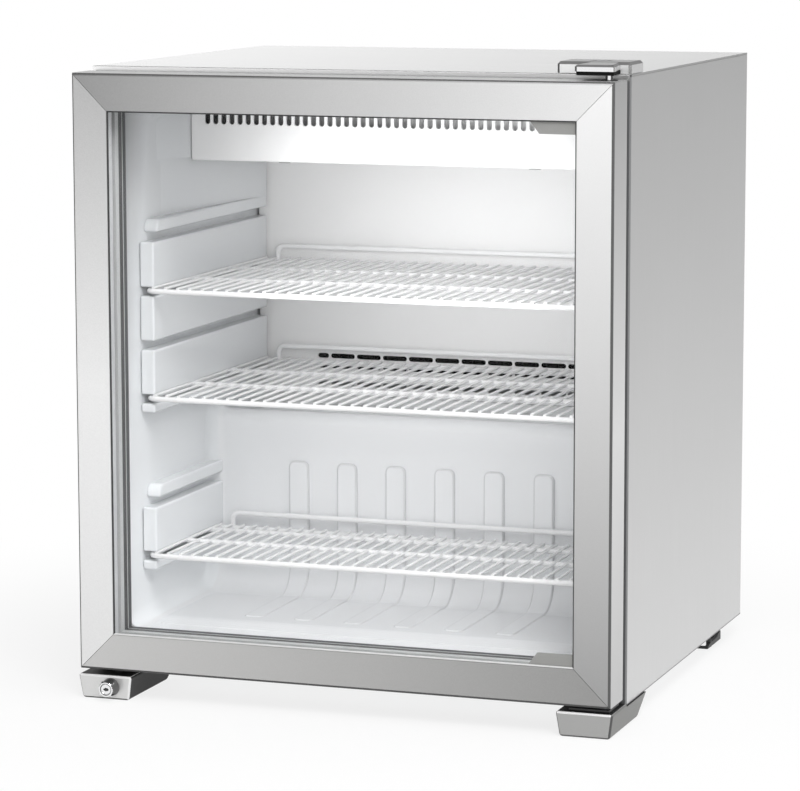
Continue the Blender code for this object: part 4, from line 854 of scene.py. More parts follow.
# The feet's finishes are painted light and shade: the left front painted lit and the right one shaded,
# painted tones on the outer and inner sides, the inner one a painted shadow deepening towards the rear, and
# foot_shade painted shade on the lower and corner faces.
FOOT_FRONT_LIT = grained("foot_left", (0.72, 0.72, 0.715), **FOOT_SILVER)
FOOT_FRONT_SHADED = grained("foot_right", (0.40, 0.40, 0.395), **FOOT_SILVER)
FOOT_OUTSIDE = grained("foot_outside", (0.17, 0.17, 0.163), **FOOT_SILVER)
FOOT_INSIDE = grained("foot_inside", 0.035, 0.40, 1100, 0.12, bump=0.00002, fade=(0, -6.0, 0),
                      start=(0, -0.27, 0), specular=0.1)
# This finish paints a highlight on the feet's top front edges, the top sheet's front fold and the glazing
# seal's bottom.
PAINTED_HIGHLIGHT = grained("painted_highlight", 0.86, 0.30, 1100, 0.06)
FOOT_SHADE = grained("foot_shade", 0.07, 0.50, 1100, 0.12)
# The brushed sheets' fades paint light and shade: the sides darker towards the top, the top darker towards
# its right.
SIDE_STEEL = grained("brushed_side", 0.65, 0.40, (420, 420, 9), clouds=0.05, fade=(0, 0, -0.70), **BRUSHED)
TOP_STEEL = grained("brushed_top", 0.775, 0.23, (9, 420, 420), clouds=0.04, fade=(-0.95, 0, 0), **BRUSHED)
TRIM = grained("trim_grey", (0.115, 0.117, 0.12), 0.42, 900, 0.10, bump=0.00002)
BEAD = grained("bead_grey", (0.55, 0.56, 0.56), 0.36, 900, 0.06, bump=0.00002)
# The bead strip's dark also paints the shade of the gap behind the door.
BEAD_STRIP = grained("bead_strip", 0.09, 0.55, 900, 0.10)
PLATE_GREY = grained("plate_grey", (0.31, 0.31, 0.30), 0.42, 900, 0.08, bump=0.00002)
GASKET = grained("gasket", (0.11, 0.112, 0.115), 0.55, 500, 0.08, bump=0.00003)
LINER = grained("liner_white", (0.862, 0.872, 0.885), **MOULDED)
# Painted-shade copies of the liner for the rails and side walls: darker towards the top, and the side walls
# also darker towards the front edge.
LINER_RAIL = grained("liner_rail", (0.868, 0.888, 0.905), **MOULDED, fade=(0, 0, -0.36), start=(0, 0, 0.15))
LINER_SIDE = grained("liner_side", (0.868, 0.888, 0.905), **MOULDED, fade=(0, 0, -0.42), start=(0, 0, 0.15),
                     second=((0, 7.3, -1.4), (0, CABINET_FRONT, 0.186)))
LINER_SHADE = grained("liner_shade", (0.76, 0.765, 0.775), 0.20, 300, 0.012)
# Paints the shade seen through the hood's outlet slots, darker towards the left.
OUTLET_SHADE = grained("hood_outlet_shade", 0.55, 0.60, 500, 0.03, fade=(4.1, 0, 0))
PANEL_WHITE = grained("panel_white", 0.885, 0.28, 700, 0.02, clouds=0.012, rough_spread=0.06, bump=0.00001)
WIRE_COAT = grained("coated_wire", (0.90, 0.90, 0.905), 0.22, 400, 0.02, rough_spread=0.06)
CHROME = grained("hinge_chrome", (0.86, 0.86, 0.87), 0.10, 600, 0.03, rough_spread=0.05, metallic=1.0)
# Painted light on the hinge: shade on its chamfers, left faces, top and the pin's flanks, a darker reflection
# on its right sides, and a highlight on the base's front.
HINGE_SHADE = grained("hinge_shade", 0.15, 0.50, 600, 0.05, specular=0.15)
HINGE_TOP = grained("hinge_top", 0.36, 0.50, 600, 0.05, specular=0.1)
HINGE_SIDE = grained("hinge_side", 0.42, 0.22, 600, 0.05, metallic=0.9)
HINGE_FRONT = grained("hinge_front", 0.95, 0.30, 600, 0.05, metallic=0.4)
# A painted dark reflection on the lock ring's flanks.
LOCK_GREY = grained("lock_grey", 0.16, 0.32, 600, 0.05, metallic=0.8)
SPACER = grained("spacer_aluminium", (0.70, 0.71, 0.72), 0.45, 900, 0.08, metallic=0.3)
# The evaporator fins' dark coat, which also paints the shade seen through the return slots; it also paints
# the black shadow under the top hinge's arm.
COIL_COAT_AND_SHADOW = grained("coil_coat_and_shadow", 0.008, 0.8, (60, 900, 900), 0.3, specular=0.1)
FINS = grained("fin_aluminium", (0.74, 0.75, 0.76), 0.38, (60, 900, 900), 0.10, metallic=0.9)
COPPER = grained("copper", (0.72, 0.40, 0.26), 0.36, 220, 0.18, clouds=0.25, cloud_scale=22.0, metallic=0.95)
BLACK_PLASTIC = grained("black_plastic", 0.022, 0.48, 1500, 0.30, bump=0.00004)
BLACK_PAINT = grained("black_paint", 0.028, 0.32, 500, 0.15, clouds=0.10, bump=0.00002)
FOAM = grained("insulation_foam", (0.84, 0.78, 0.60), 0.90, 420, 0.20, clouds=0.10, bump=0.0003)


def make_galvanised():
    material, shader = new_finish("galvanised", 0.8)
    values = {"Colour": (0.56, 0.575, 0.585, 1.0), "Roughness": 0.42, "Scale": 190.0}
    return wear_group(material, shader, SPANGLE, values, 0.00001)


def make_glass():
    """Clear float glass; a lamp's light passes straight through it."""
    material, shader = new_finish("glass", 0.0, {
        "Base Color": (0.992, 0.992, 0.992, 1.0), "Roughness": 0.0, "IOR": 1.12, "Transmission Weight": 1.0})
    tree = material.node_tree
    rays = add_node(tree, "ShaderNodeLightPath")
    clear = add_node(tree, "ShaderNodeBsdfTransparent", {"Color": (0.97, 0.97, 0.97, 1.0)})
    mix = add_node(tree, "ShaderNodeMixShader", {0: rays.outputs["Is Shadow Ray"], 1: shader.outputs[0],
                                                 2: clear.outputs[0]})
    tree.links.new(mix.outputs[0], tree.nodes["Material Output"].inputs["Surface"])
    return material


def make_lamp_cover():
    """Diffuser of the light bar, lit from inside and brighter towards its top."""
    material, shader = new_finish("light_cover", 0.0, {"Roughness": 0.45, "Emission Strength": 8.0})
    values = {"Colour": (0.92, 0.92, 0.90, 1.0), "Roughness": 0.45, "Scale": three(600), "Spread": 0.04,
              "Cloud Scale": 7.0, "Clouds": 0.02, "Rough Spread": 0.1}
    wear_group(material, shader, GRAIN, values, 0.0)
    tree = material.node_tree
    level = add_node(tree, "ShaderNodeSeparateXYZ", {0: object_place(tree)}).outputs["Z"]
    tree.links.new(map_range(tree, level, (0.15, 0.60), (0.10, 1.0)), shader.inputs["Emission Color"])
    return material


GALVANISED = make_galvanised()
GLASS = make_glass()
LAMP_COVER = make_lamp_cover()


# Camera, light and floor

def make_camera():
    data = bpy.data.cameras.new("camera")
    data.sensor_fit = "HORIZONTAL"
    data.sensor_width = SENSOR_WIDTH
    data.lens = CAMERA_LENS
    data.clip_end = VIEW_REACH
    camera = bpy.data.objects.new("camera", data)
    camera.location = CAMERA_PLACE
    camera.rotation_euler = (math.pi / 2 - CAMERA_DIP, CAMERA_ROLL, CAMERA_YAW)
    bpy.context.scene.collection.objects.link(camera)
    bpy.context.scene.camera = camera


def make_world():
    """White all round to the camera and through glass; metal also mirrors a darker ceiling."""
    world = bpy.data.worlds.new("studio")
    bpy.context.scene.world = world
    world.use_nodes = True
    tree = world.node_tree
    tree.nodes.clear()
    rays = add_node(tree, "ShaderNodeLightPath").outputs
    heading = add_node(tree, "ShaderNodeTexCoord").outputs["Generated"]
    rise = add_node(tree, "ShaderNodeSeparateXYZ", {0: heading}).outputs["Z"]
    ceiling = map_range(tree, rise, CEILING_RISE, (1.0, CEILING_TONE), interpolation_type="SMOOTHSTEP")
    plain = maths(tree, "MAXIMUM", rays["Is Camera Ray"], rays["Is Transmission Ray"])
    fill = add_node(tree, "ShaderNodeMix", {0: rays["Is Glossy Ray"], 2: FILL_LIGHT, 3: ceiling})
    light = add_node(tree, "ShaderNodeMix", {0: plain, 2: fill.outputs[0], 3: 1.0})
    sky = add_node(tree, "ShaderNodeBackground", {"Color": (1, 1, 1, 1), "Strength": light.outputs[0]})
    out = add_node(tree, "ShaderNodeOutputWorld")
    tree.links.new(sky.outputs[0], out.inputs["Surface"])


def make_floor():
    """Pale floor that keeps the shadow near the object and fades to white round it."""
    mesh = bmesh.new()
    bmesh.ops.create_circle(mesh, cap_ends=True, radius=FLOOR_RADIUS, segments=64)
    floor = new_object("floor", mesh)
    material = bpy.data.materials.new("pale_floor")
    material.use_nodes = True
    tree = material.node_tree
    tree.nodes.clear()
    reach = vector_maths(tree, "LENGTH", object_place(tree), output="Value")
    fade = map_range(tree, reach, FLOOR_FADE, FLOOR_WHITE, interpolation_type="SMOOTHSTEP")
    rays = add_node(tree, "ShaderNodeLightPath").outputs
    seen = maths(tree, "LESS_THAN", rays["Is Diffuse Ray"])
    share = maths(tree, "MULTIPLY", fade, seen)
    pale = add_node(tree, "ShaderNodeBsdfDiffuse", {"Color": (0.93, 0.93, 0.93, 1.0)})
    white = add_node(tree, "ShaderNodeEmission", {"Color": (1, 1, 1, 1), "Strength": 1.0})
    mix = add_node(tree, "ShaderNodeMixShader", {0: share, 1: pale.outputs[0], 2: white.outputs[0]})
    out = add_node(tree, "ShaderNodeOutputMaterial")
    tree.links.new(mix.outputs[0], out.inputs["Surface"])
    floor.data.materials.append(material)


def make_lights():
    """Softboxes that the camera doesn't see, and dark studio flags that only mirrors show."""
    for name, place, target, width, height, power in SOFTBOXES:
        data = bpy.data.lights.new(name, "AREA")
        data.shape = "RECTANGLE"
        data.size = width
        data.size_y = height
        data.energy = power
        lamp = bpy.data.objects.new(name, data)
        lamp.location = place
        lamp.rotation_euler = (Vector(target) - Vector(place)).to_track_quat("-Z", "Y").to_euler()
        lamp.visible_camera = False
        lamp.visible_transmission = False
        lamp.visible_glossy = name not in NOT_MIRRORED
        bpy.context.scene.collection.objects.link(lamp)
    bpy.data.lights["room_light"].spread = ROOM_LIGHT_SPREAD
    black = new_finish("card_black", 0.0, {"Base Color": (0.02, 0.02, 0.02, 1.0), "Roughness": 0.9})[0]
    for name, low, high in DARK_CARDS:
        card = new_object(name, block(low, high))
        card.data.materials.append(black)
        card.visible_camera = False
        card.visible_diffuse = False
        card.visible_transmission = False
        card.visible_shadow = False


# Door

def frame_bar(side):
    """One bar of the door frame: a rounded outer edge, a thin lip over the glass and mitred ends."""
    x0, x1, z0, z1 = DOOR_RECT
    upright = side in ("left", "right")

    def spot(inward, depth, along):
        y = DOOR_FACE + depth
        if upright:
            return Vector((x0 + inward if side == "left" else x1 - inward, y, along))
        return Vector((along, y, z1 - inward if side == "top" else z0 + inward))

    start, end = (z0, z1) if upright else (x0, x1)
    profile = ((0.0, 0.0), (FRAME_FACE, 0.0), (FRAME_FACE, FRAME_LIP), (FRAME_BAR, FRAME_LIP),
               (FRAME_BAR, DOOR_DEPTH), (0.0, DOOR_DEPTH))
    rounds = ((0, FRAME_ROUND, 8), (1, LIP_ROUND, 3), (2, LIP_ROUND, 2), (5, FRAME_BACK_ROUND, 3))
    run = spot(0, 0, end) - spot(0, 0, start)
    mesh = prism([spot(inward, depth, start) for inward, depth in profile], run, rounds)
    inward = {"left": Vector((1, 0, 0)), "right": Vector((-1, 0, 0)), "top": Vector((0, 0, -1)),
              "bottom": Vector((0, 0, 1))}[side]
    for along, sense in ((start, -1), (end, 1)):
        outward = run.normalized() * sense
        corner = spot(0.0, 0.0, along) - outward * MITRE_GAP
        cut = bisect(mesh, corner, (outward + inward).normalized(), TINY / 100, clear=True)
        bmesh.ops.edgeloop_fill(mesh, edges=kind_of(cut["geom_cut"], bmesh.types.BMEdge))
    face_out(mesh)
    if side == "bottom":
        low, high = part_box("lock_bolt")
        gap = Vector((KEEPER_GAP, KEEPER_GAP, KEEPER_GAP))
        mesh = drilled(mesh, block(low - gap, high + gap + Vector((0, 0, BOLT_LIFT))))
    # Painted light: the rounded edge's forward part gets a painted dark reflection, and the stiles' sides and
    # the top rail's top get their own painted tones.
    least, most = EDGE_TURN[side]
    for face in mesh.faces:
        middle = face.calc_center_median()
        near_edge = min(middle.x - x0, x1 - middle.x, middle.z - z0, z1 - middle.z) < FRAME_ROUND
        if near_edge and middle.y < DOOR_FACE + FRAME_ROUND and least < -face.normal.y < most:
            face.material_index = 1
    mark(mesh, 2, lambda normal: abs(normal.x) > 0.95)
    if side == "top":
        mark(mesh, 3, lambda normal: normal.z > 0.95)
    return mesh


def make_door_frame():
    """Four mitred bars, and the thin seal between their lips and the glass, dark to paint the shaded line
    there, with a painted highlight along its bottom.
    """
    for side, node, finish in (
            ("top", "door_rail_top", RAIL_TOP), ("bottom", "door_rail_bottom", RAIL_BOTTOM),
            ("left", "door_stile_left", STILE_LEFT), ("right", "door_stile_right", STILE_RIGHT)):
        piece("frame_" + side, frame_bar(side), finish, "door", [node], 25,
              [FRAME_EDGE, STILE_SIDE, RAIL_CROWN])
    lip = inset(DOOR_RECT, FRAME_FACE - SEAL_ROOT)
    edge = inset(DOOR_RECT, FRAME_FACE + SEAL_SIGHT)
    seal = tube_ring(lip, edge, DOOR_FACE + SEAL_FRONT, DOOR_FACE + FRAME_LIP)
    round_edges(seal, SEAL_ROUND, 2)
    # The seal's bottom faces get a painted highlight.
    for face in seal.faces:
        if face.calc_center_median().z < edge[2] + TINY:
            face.material_index = 1
    piece("glazing_seal", seal, SEAL_BLACK, "door", more=[PAINTED_HIGHLIGHT])


def make_glazing():
    """Two panes and their spacer, held by a bead with a dark strip in its groove, whose dark also paints the
    shade of the gap behind the door.
    """
    dress("glass_outer", GLASS)
    dress("glass_inner", GLASS)
    dress("glass_spacer", SPACER)
    outer = inset(DOOR_RECT, FRAME_BAR + BEAD_GAP)
    sight = inset(DOOR_RECT, BEAD_SIGHT)
    groove = inset(DOOR_RECT, BEAD_SIGHT - GROOVE_DEPTH)
    front = DOOR_FACE + BEAD_FRONT
    back = DOOR_BACK - BEAD_BACK_GAP
    near = DOOR_FACE + BEAD_STRIP_FRONT
    far = DOOR_FACE + BEAD_STRIP_BACK
    loops = [(outer, front), (outer, back), (sight, back), (sight, far), (groove, far), (groove, near),
             (sight, near), (sight, front)]
    bead = round_edges(ring_of(loops), BEAD_ROUND, 2)
    piece("glazing_bead", bead, BEAD, "door", ["door_bead"])
    seat = inset(DOOR_RECT, BEAD_SIGHT - STRIP_ROOT)
    face = inset(DOOR_RECT, BEAD_SIGHT - STRIP_SUNK)
    strip = round_edges(tube_ring(seat, face, near + STRIP_GAP, far - STRIP_GAP), STRIP_ROUND, 2)
    piece("bead_strip", strip, BEAD_STRIP, "door")
    for name in ("corner_plate_upper", "corner_plate_lower"):
        dress(name, PLATE_GREY)


def make_gasket():
    """Folded door seal: a base in the bead, bellows, and the flat face that meets the cabinet."""
    near = DOOR_BACK + GASKET_GAP
    far = CABINET_FRONT - GASKET_GAP
    depths = [near + (far - near) * step for step in GASKET_STEPS]
    outer = inset(DOOR_RECT, GASKET_OUTSIDE)
    fold = inset(DOOR_RECT, GASKET_FOLD)
    inner = inset(DOOR_RECT, GASKET_INSET)
    tuck = inset(DOOR_RECT, GASKET_INSET - GASKET_TUCK)
    loops = list(zip((outer, outer, fold, outer, outer), depths))
    loops += reversed(list(zip((inner, inner, tuck, inner, inner), depths)))
    seal = round_edges(ring_of(loops), GASKET_ROUND, 2)
    piece("door_seal", seal, GASKET, "door", ["door_gasket"])


def make_light_bar():
    low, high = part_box("light_bar")
    cover = block((low.x, low.y, low.z + LAMP_CAP), (high.x, high.y, high.z - LAMP_CAP))
    piece("light_cover", round_edges(cover, LAMP_ROUND, 4), LAMP_COVER, "door", ["light_bar"])
    ends = []
    for bottom, top in ((low.z, low.z + LAMP_CAP), (high.z - LAMP_CAP, high.z)):
        cap = block((low.x - LAMP_CAP_PROUD, low.y, bottom), (high.x, high.y + LAMP_CAP_PROUD, top))
        ends.append(round_edges(cap, LAMP_CAP_ROUND))
    piece("light_bar_ends", gather(ends), BEAD, "door")


def make_bushes():
    """Flanged bushes that the hinge pins turn in."""
    for node, level, way in (("hinge_bush_upper", DOOR_TOP, 1), ("hinge_bush_lower", DOOR_BOTTOM, -1)):
        profile = [(radius, height * way) for radius, height in BUSH_PROFILE]
        mesh = face_out(collar(profile, (*HINGE_AXIS, level), UP, 40))
        piece(node + "_flanged", mesh, BLACK_PLASTIC, "door", [node])


# Cabinet

def make_shell():
    """Brushed side sheets with a hem, a top sheet that folds down over the front, and the front trim."""
    fold = CABINET_TOP - TOP_FOLD
    for node in ("side_panel_left", "side_panel_right"):
        low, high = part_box(node)
        low.y = CABINET_FRONT + TRIM_SHOWN + SHEET_GAP
        mesh = round_edges(block(low, (high.x, high.y, fold - SHEET_GAP)), SHEET_ROUND, 2)
        piece(node + "_sheet", mesh, SIDE_STEEL, "cabinet", [node])
        hem = block((low.x - HEM_PROUD, low.y, low.z), (high.x + HEM_PROUD, high.y, low.z + HEM_RISE))
        piece(node + "_hem", round_edges(hem, HEM_PROUD, 2), FOLD_EDGE, "cabinet")
    low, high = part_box("top_panel")
    front = CABINET_FRONT - SHEET_GAP
    inside = front + TOP_LIP_SKIN
    outline = [(front, fold - TOP_LIP), (inside, fold - TOP_LIP), (inside, fold), (high.y, fold),
               (high.y, high.z), (front, high.z)]
    mesh = slab(outline, "X", low.x, high.x)
    round_edges(mesh, TOP_ROUND, 4, lambda edge: lies_at(edge, "z", high.z))
    # The top sheet's sides get darker metal as a painted shaded line, and its front fold a painted highlight.
    mark(mesh, 1, lambda normal: abs(normal.x) > 0.3)
    mark(mesh, 2, lambda normal: -0.9 < normal.y < -0.2)
    piece("top_panel_sheet", mesh, TOP_STEEL, "cabinet", ["top_panel"],
          more=[FOLD_EDGE, PAINTED_HIGHLIGHT])
    low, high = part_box("front_trim")
    outside = (low.x, high.x, low.z, high.z)
    hole = inset((ROOM_LOW.x, ROOM_HIGH.x, ROOM_LOW.z, ROOM_HIGH.z), -FLARE)
    skirt = inset(outside, TRIM_SKIN)
    back = low.y + TRIM_SHOWN
    face = low.y + TRIM_SKIN
    loops = [(outside, low.y), (outside, back), (skirt, back), (skirt, face), (hole, face), (hole, low.y)]
    trim = round_edges(ring_of(loops), SHEET_ROUND, 2)
    piece("front_trim_frame", trim, TRIM, "cabinet", ["front_trim"])


def flare(mesh):
    """Spread a mesh's front part along the room's flared mouth."""
    for share in FLARE_CUTS:
        bisect(mesh, (0, ROOM_LOW.y + FLARE_DEPTH * share, 0), REARWARD, TINY)
    for vert in mesh.verts:
        push = FLARE * max(0.0, 1.0 - (vert.co.y - ROOM_LOW.y) / FLARE_DEPTH)
        vert.co.x *= 1.0 + push / ROOM_HALF.x
        vert.co.z = ROOM_MIDDLE.z + (vert.co.z - ROOM_MIDDLE.z) * (1.0 + push / ROOM_HALF.z)


def make_room():
    """White moulded room: rounded corners, a flared front edge and the step over the machine room."""
    front = ROOM_LOW.y
    outline = [(front, ROOM_LOW.z), (HUMP_FACE, ROOM_LOW.z), (HUMP_FACE, LEDGE), (ROOM_HIGH.y, LEDGE),
               (ROOM_HIGH.y, ROOM_HIGH.z), (front, ROOM_HIGH.z)]
    rounds = ((1, ROOT_ROUND, 8), (2, HUMP_ROUND, 6), (3, ROOM_CORNER, 5), (4, CEILING_CORNER, 5))
    mesh = slab(outline, "X", ROOM_LOW.x, ROOM_HIGH.x, rounds)
    mouth = [face for face in mesh.faces if lies_at(face, "y", front)]
    bmesh.ops.delete(mesh, geom=mouth, context="FACES")
    bevel(mesh, side_corners(mesh), ROOM_CORNER, 6)
    flare(mesh)
    lip = [edge for edge in mesh.edges if edge.is_boundary]
    for vert in grown_verts(bmesh.ops.extrude_edge_only(mesh, edges=lip)):
        vert.co.x += math.copysign(FLANGE, vert.co.x)
        vert.co.z += math.copysign(FLANGE, vert.co.z - ROOM_MIDDLE.z)
    face_out(mesh)
    back = max(mesh.faces, key=lambda face: face.calc_center_median().y)
    if back.normal.y > 0:
        bmesh.ops.reverse_faces(mesh, faces=mesh.faces)
    item = piece("room_liner", mesh, LINER, "cabinet", ["inner_liner"], 40)
    # The side walls get the liner's painted-shade copy.
    item.data.materials.append(LINER_SIDE)
    for face in item.data.polygons:
        if abs(face.normal.x) > 0.5:
            face.material_index = 1
    wall = item.modifiers.new("wall", "SOLIDIFY")
    wall.thickness = LINER_SKIN
    wall.offset = -1.0


def make_foam():
    """Foam round the room, cut clear of the liner's flared front and of the machine room."""
    low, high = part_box("insulation_foam")
    outline = [(low.y, low.z), (MACHINE_FRONT, low.z), (MACHINE_FRONT, MACHINE_TOP), (high.y, MACHINE_TOP),
               (high.y, high.z), (low.y, high.z)]
    jacket = slab(outline, "X", low.x, high.x)
    near, hump, far = low.y - FOAM_CLEAR, HUMP_FACE + FOAM_CLEAR, ROOM_HIGH.y + FOAM_CLEAR
    floor, ledge, top = ROOM_LOW.z - FOAM_CLEAR, LEDGE - FOAM_CLEAR, ROOM_HIGH.z + FOAM_CLEAR
    room = [(near, floor), (hump, floor), (hump, ledge), (far, ledge), (far, top), (near, top)]
    cutter = slab(room, "X", ROOM_LOW.x - FOAM_CLEAR, ROOM_HIGH.x + FOAM_CLEAR)
    piece("foam_jacket", drilled(jacket, cutter), FOAM, "cabinet", ["insulation_foam"])


def make_rails():
    """Moulded rails on the side walls, each set's top one with a round nose, and a pad up to the ceiling."""
    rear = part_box("duct_panel")[0].y - RAIL_GAP
    for side, name in ((-1, "shelf_rails_left"), (1, "shelf_rails_right")):
        wall = side * (ROOM_HIGH.x + RAIL_SINK)
        face = side * (ROOM_HIGH.x - RAIL_DEPTH)
        rails = []
        for levels, end in ((RAIL_LEVELS, rear), (LOW_RAIL_LEVELS, HUMP_FACE + RAIL_SINK)):
            for low, high in levels:
                ridge = (low, high) == levels[-1]
                outline = corners_of(RIDGE_FRONT if ridge else RAIL_FRONT, end, low, high)
                mesh = slab(outline, "X", wall, face, [(3, RIDGE_NOSE, 6)] if ridge else ())
                rails.append(round_edges(mesh, RAIL_ROUND, 4))
        outline = [(wall, PAD_FRONT), (face, rear), (wall, rear)]
        rails.append(slab(outline, "Z", PAD_FOOT, ROOM_HIGH.z + RAIL_SINK))
        piece(name, gather(rails), LINER_RAIL, "cabinet")


def make_ribs():
    """Ribs that run down the step's face, round its foot and out along the floor, on a shallow floor step."""
    front = HUMP_FACE - RIB_PROUD
    crest = ROOM_LOW.z + RIB_FLOOR_PROUD
    wall = HUMP_FACE + RIB_ROOT
    under = ROOM_LOW.z - RIB_ROOT
    outline = [(wall, RIB_TOP), (front, RIB_TOP), (front, crest), (RIB_END, crest), (RIB_END, under),
               (wall, under)]
    ribs = []
    for step in range(RIB_COUNT):
        middle = RIB_SHIFT + (step - (RIB_COUNT - 1) / 2) * RIB_PITCH
        mesh = slab(outline, "X", middle - RIB_WIDTH / 2, middle + RIB_WIDTH / 2,
                    ((2, ROOT_ROUND - RIB_PROUD, 8),))
        across = [edge for edge in mesh.edges if on_one_side(edge)]
        ends = [edge for edge in across if lies_at(edge, "z", RIB_TOP)]
        ends += [edge for edge in across if lies_at(edge, "y", RIB_END)]
        bevel(mesh, ends, RIB_CROWN, 5)
        round_edges(mesh, RIB_ROUND, 4)
        for face in mesh.faces:
            high = face.calc_center_median().z > RIB_TOP - RIB_CROWN
            if abs(face.normal.x) > 0.35 or high and face.normal.z > 0.25:
                face.material_index = 1
        ribs.append(mesh)
    outline = corners_of(-FLOOR_STEP_HALF, FLOOR_STEP_HALF, *FLOOR_STEP_DEPTH)
    step = slab(outline, "Z", ROOM_LOW.z - LINER_SKIN / 2, ROOM_LOW.z + FLOOR_STEP_RISE,
                four_rounds(FLOOR_STEP_CORNER, 10))
    round_edges(step, FLOOR_STEP_RISE, 4)
    flare(step)
    ribs.append(step)
    piece("room_ribs", gather(ribs), LINER, "cabinet", more=[LINER_SHADE])


def make_duct_panel():
    """Sheet before the coil, with rows of return slots and the fan's hole."""
    low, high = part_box("duct_panel")
    sheet = round_edges(block(low, high), PANEL_ROUND, 3)
    near, far = low.y - CUT_PAST, high.y + CUT_PAST
    ends = [(SLOT_START - SLOT_GAP - SHORT_SLOT, SLOT_START - SLOT_GAP)]
    for step in range(SLOT_COUNT):
        left = SLOT_START + step * (SLOT_LENGTH + SLOT_GAP)
        ends.append((left, left + SLOT_LENGTH))
    holes = []
    for bottom in SLOT_LEVELS:
        for left, right in ends:
            holes.append(pill(left, right, bottom, bottom + SLOT_HEIGHT, near, far))
    fan_low, fan_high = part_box("evaporator_fan")
    fan = (fan_low + fan_high) / 2
    reach = (fan_high.x - fan_low.x) / 2 + FAN_GAP
    centre = (fan.x, (low.y + high.y) / 2, fan.z)
    holes.append(disc_stack(((reach, -FAN_CUT), (reach, FAN_CUT)), centre, REARWARD))
    piece("duct_sheet", drilled(sheet, gather(holes)), PANEL_WHITE, "cabinet", ["duct_panel"])


def make_air_cover():
    """Hood under the ceiling with a row of round-ended outlet slots and two clips on its lower edge."""
    low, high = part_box("air_cover")
    foot = high.z - HOOD_FRONT_HEIGHT

    def behind(left, right, depths, levels):
        """A block by its depths behind the hood's front and its levels over the front's foot."""
        return block((left, low.y + depths[0], foot + levels[0]),
                     (right, low.y + depths[1], foot + levels[1]))

    outline = [(low.y, foot), (high.y, low.z), (high.y, high.z), (low.y, high.z)]
    mesh = slab(outline, "X", low.x, high.x, ((0, HOOD_ROUND, 4),))
    gone = [face for face in mesh.faces if face.normal.z > 0.9 or face.normal.y > 0.9]
    bmesh.ops.delete(mesh, geom=gone, context="FACES")
    bevel(mesh, side_corners(mesh), HOOD_ROUND, 4)
    bmesh.ops.solidify(mesh, geom=mesh.faces[:], thickness=HOOD_SKIN)
    face_out(mesh)
    slots = []
    for step in range(OUTLET_COUNT):
        middle = (step - (OUTLET_COUNT - 1) / 2) * OUTLET_PITCH
        slots.append(pill(middle - OUTLET_WIDTH / 2, middle + OUTLET_WIDTH / 2, foot + OUTLET_LEVELS[0],
                          foot + OUTLET_LEVELS[1], low.y + OUTLET_CUT[0], low.y + OUTLET_CUT[1]))
    piece("air_hood", drilled(mesh, gather(slots)), PANEL_WHITE, "cabinet", ["air_cover"], 40)
    seals = []
    for wall, side in ((ROOM_LOW.x, low.x), (ROOM_HIGH.x, high.x)):
        outline = [(wall, low.y - HOOD_SEAL_FRONT), (side, low.y + HOOD_SEAL_TURN),
                   (side, low.y + HOOD_SEAL_REAR), (wall, low.y + HOOD_SEAL_REAR)]
        seals.append(slab(outline, "Z", foot + HOOD_SEAL_FOOT, ROOM_HIGH.z + RAIL_SINK))
    piece("air_hood_seals", gather(seals), LINER_SIDE, "cabinet")
    # A dark sheet behind the outlet slots paints the shade seen through them.
    outlet_shade = behind(low.x + OUTLET_SHADE_INSET, high.x - OUTLET_SHADE_INSET, OUTLET_SHADE_DEPTHS, OUTLET_SHADE_LEVELS)
    piece("air_hood_outlet_shade", round_edges(outlet_shade, OUTLET_SHADE_ROUND, 2), OUTLET_SHADE, "cabinet")
    clips = [behind(x - CLIP_HALF, x + CLIP_HALF, CLIP_DEPTHS, CLIP_LEVELS) for x in CLIP_PLACES]
    clips = [round_edges(clip, CLIP_ROUND) for clip in clips]
    piece("air_hood_clips", gather(clips), PLATE_GREY, "cabinet")


# Shelves

def make_shelf(node, body, cross):
    """Coated wire shelf: a rim, lengthwise wires on cross wires, and a guard along the rear."""
    low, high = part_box(node)
    level = low.z + RIM_RADIUS + SHELF_LIFT
    left, right = low.x + RIM_RADIUS, high.x - RIM_RADIUS
    front, rear = low.y + RIM_RADIUS, high.y - RIM_RADIUS
    mesh = bmesh.new()
    middle = (left + right) / 2
    loop = [(middle, front, level), (right, front, level), (right, rear, level), (left, rear, level),
            (left, front, level), (middle, front, level)]
    wire(mesh, loop, RIM_RADIUS, RIM_BEND, closed=True)
    top = level + RIM_RADIUS + GRID_RADIUS * GRID_SEAT
    pitch = (right - left - 2 * GRID_INSET) / (SHELF_WIRES - 1)
    lap = RIM_RADIUS * GRID_LAP
    for step in range(SHELF_WIRES):
        x = left + GRID_INSET + step * pitch
        rod(mesh, (x, front - lap, top), (x, rear + lap, top), GRID_RADIUS)
    seat = top + GRID_RADIUS - CROSS_RADIUS - CROSS_DROP
    for y in cross:
        rod(mesh, (left, y, seat), (right, y, seat), CROSS_RADIUS)
    crest = high.z - RIM_RADIUS + SHELF_LIFT
    left, right = left + GUARD_INSET, right - GUARD_INSET
    path = [(left, rear, level), (left, rear, crest), (right, rear, crest), (right, rear, level)]
    wire(mesh, path, RIM_RADIUS, GUARD_BEND)
    piece(node + "_wire", mesh, WIRE_COAT, body, [node], 60)


def make_shelves():
    make_shelf("shelf_upper", "upper_shelf", UPPER_CROSS)
    make_shelf("shelf_middle", "middle_shelf", UPPER_CROSS)
    make_shelf("shelf_lower", "lower_shelf", LOWER_CROSS)


# Feet, hinges and lock

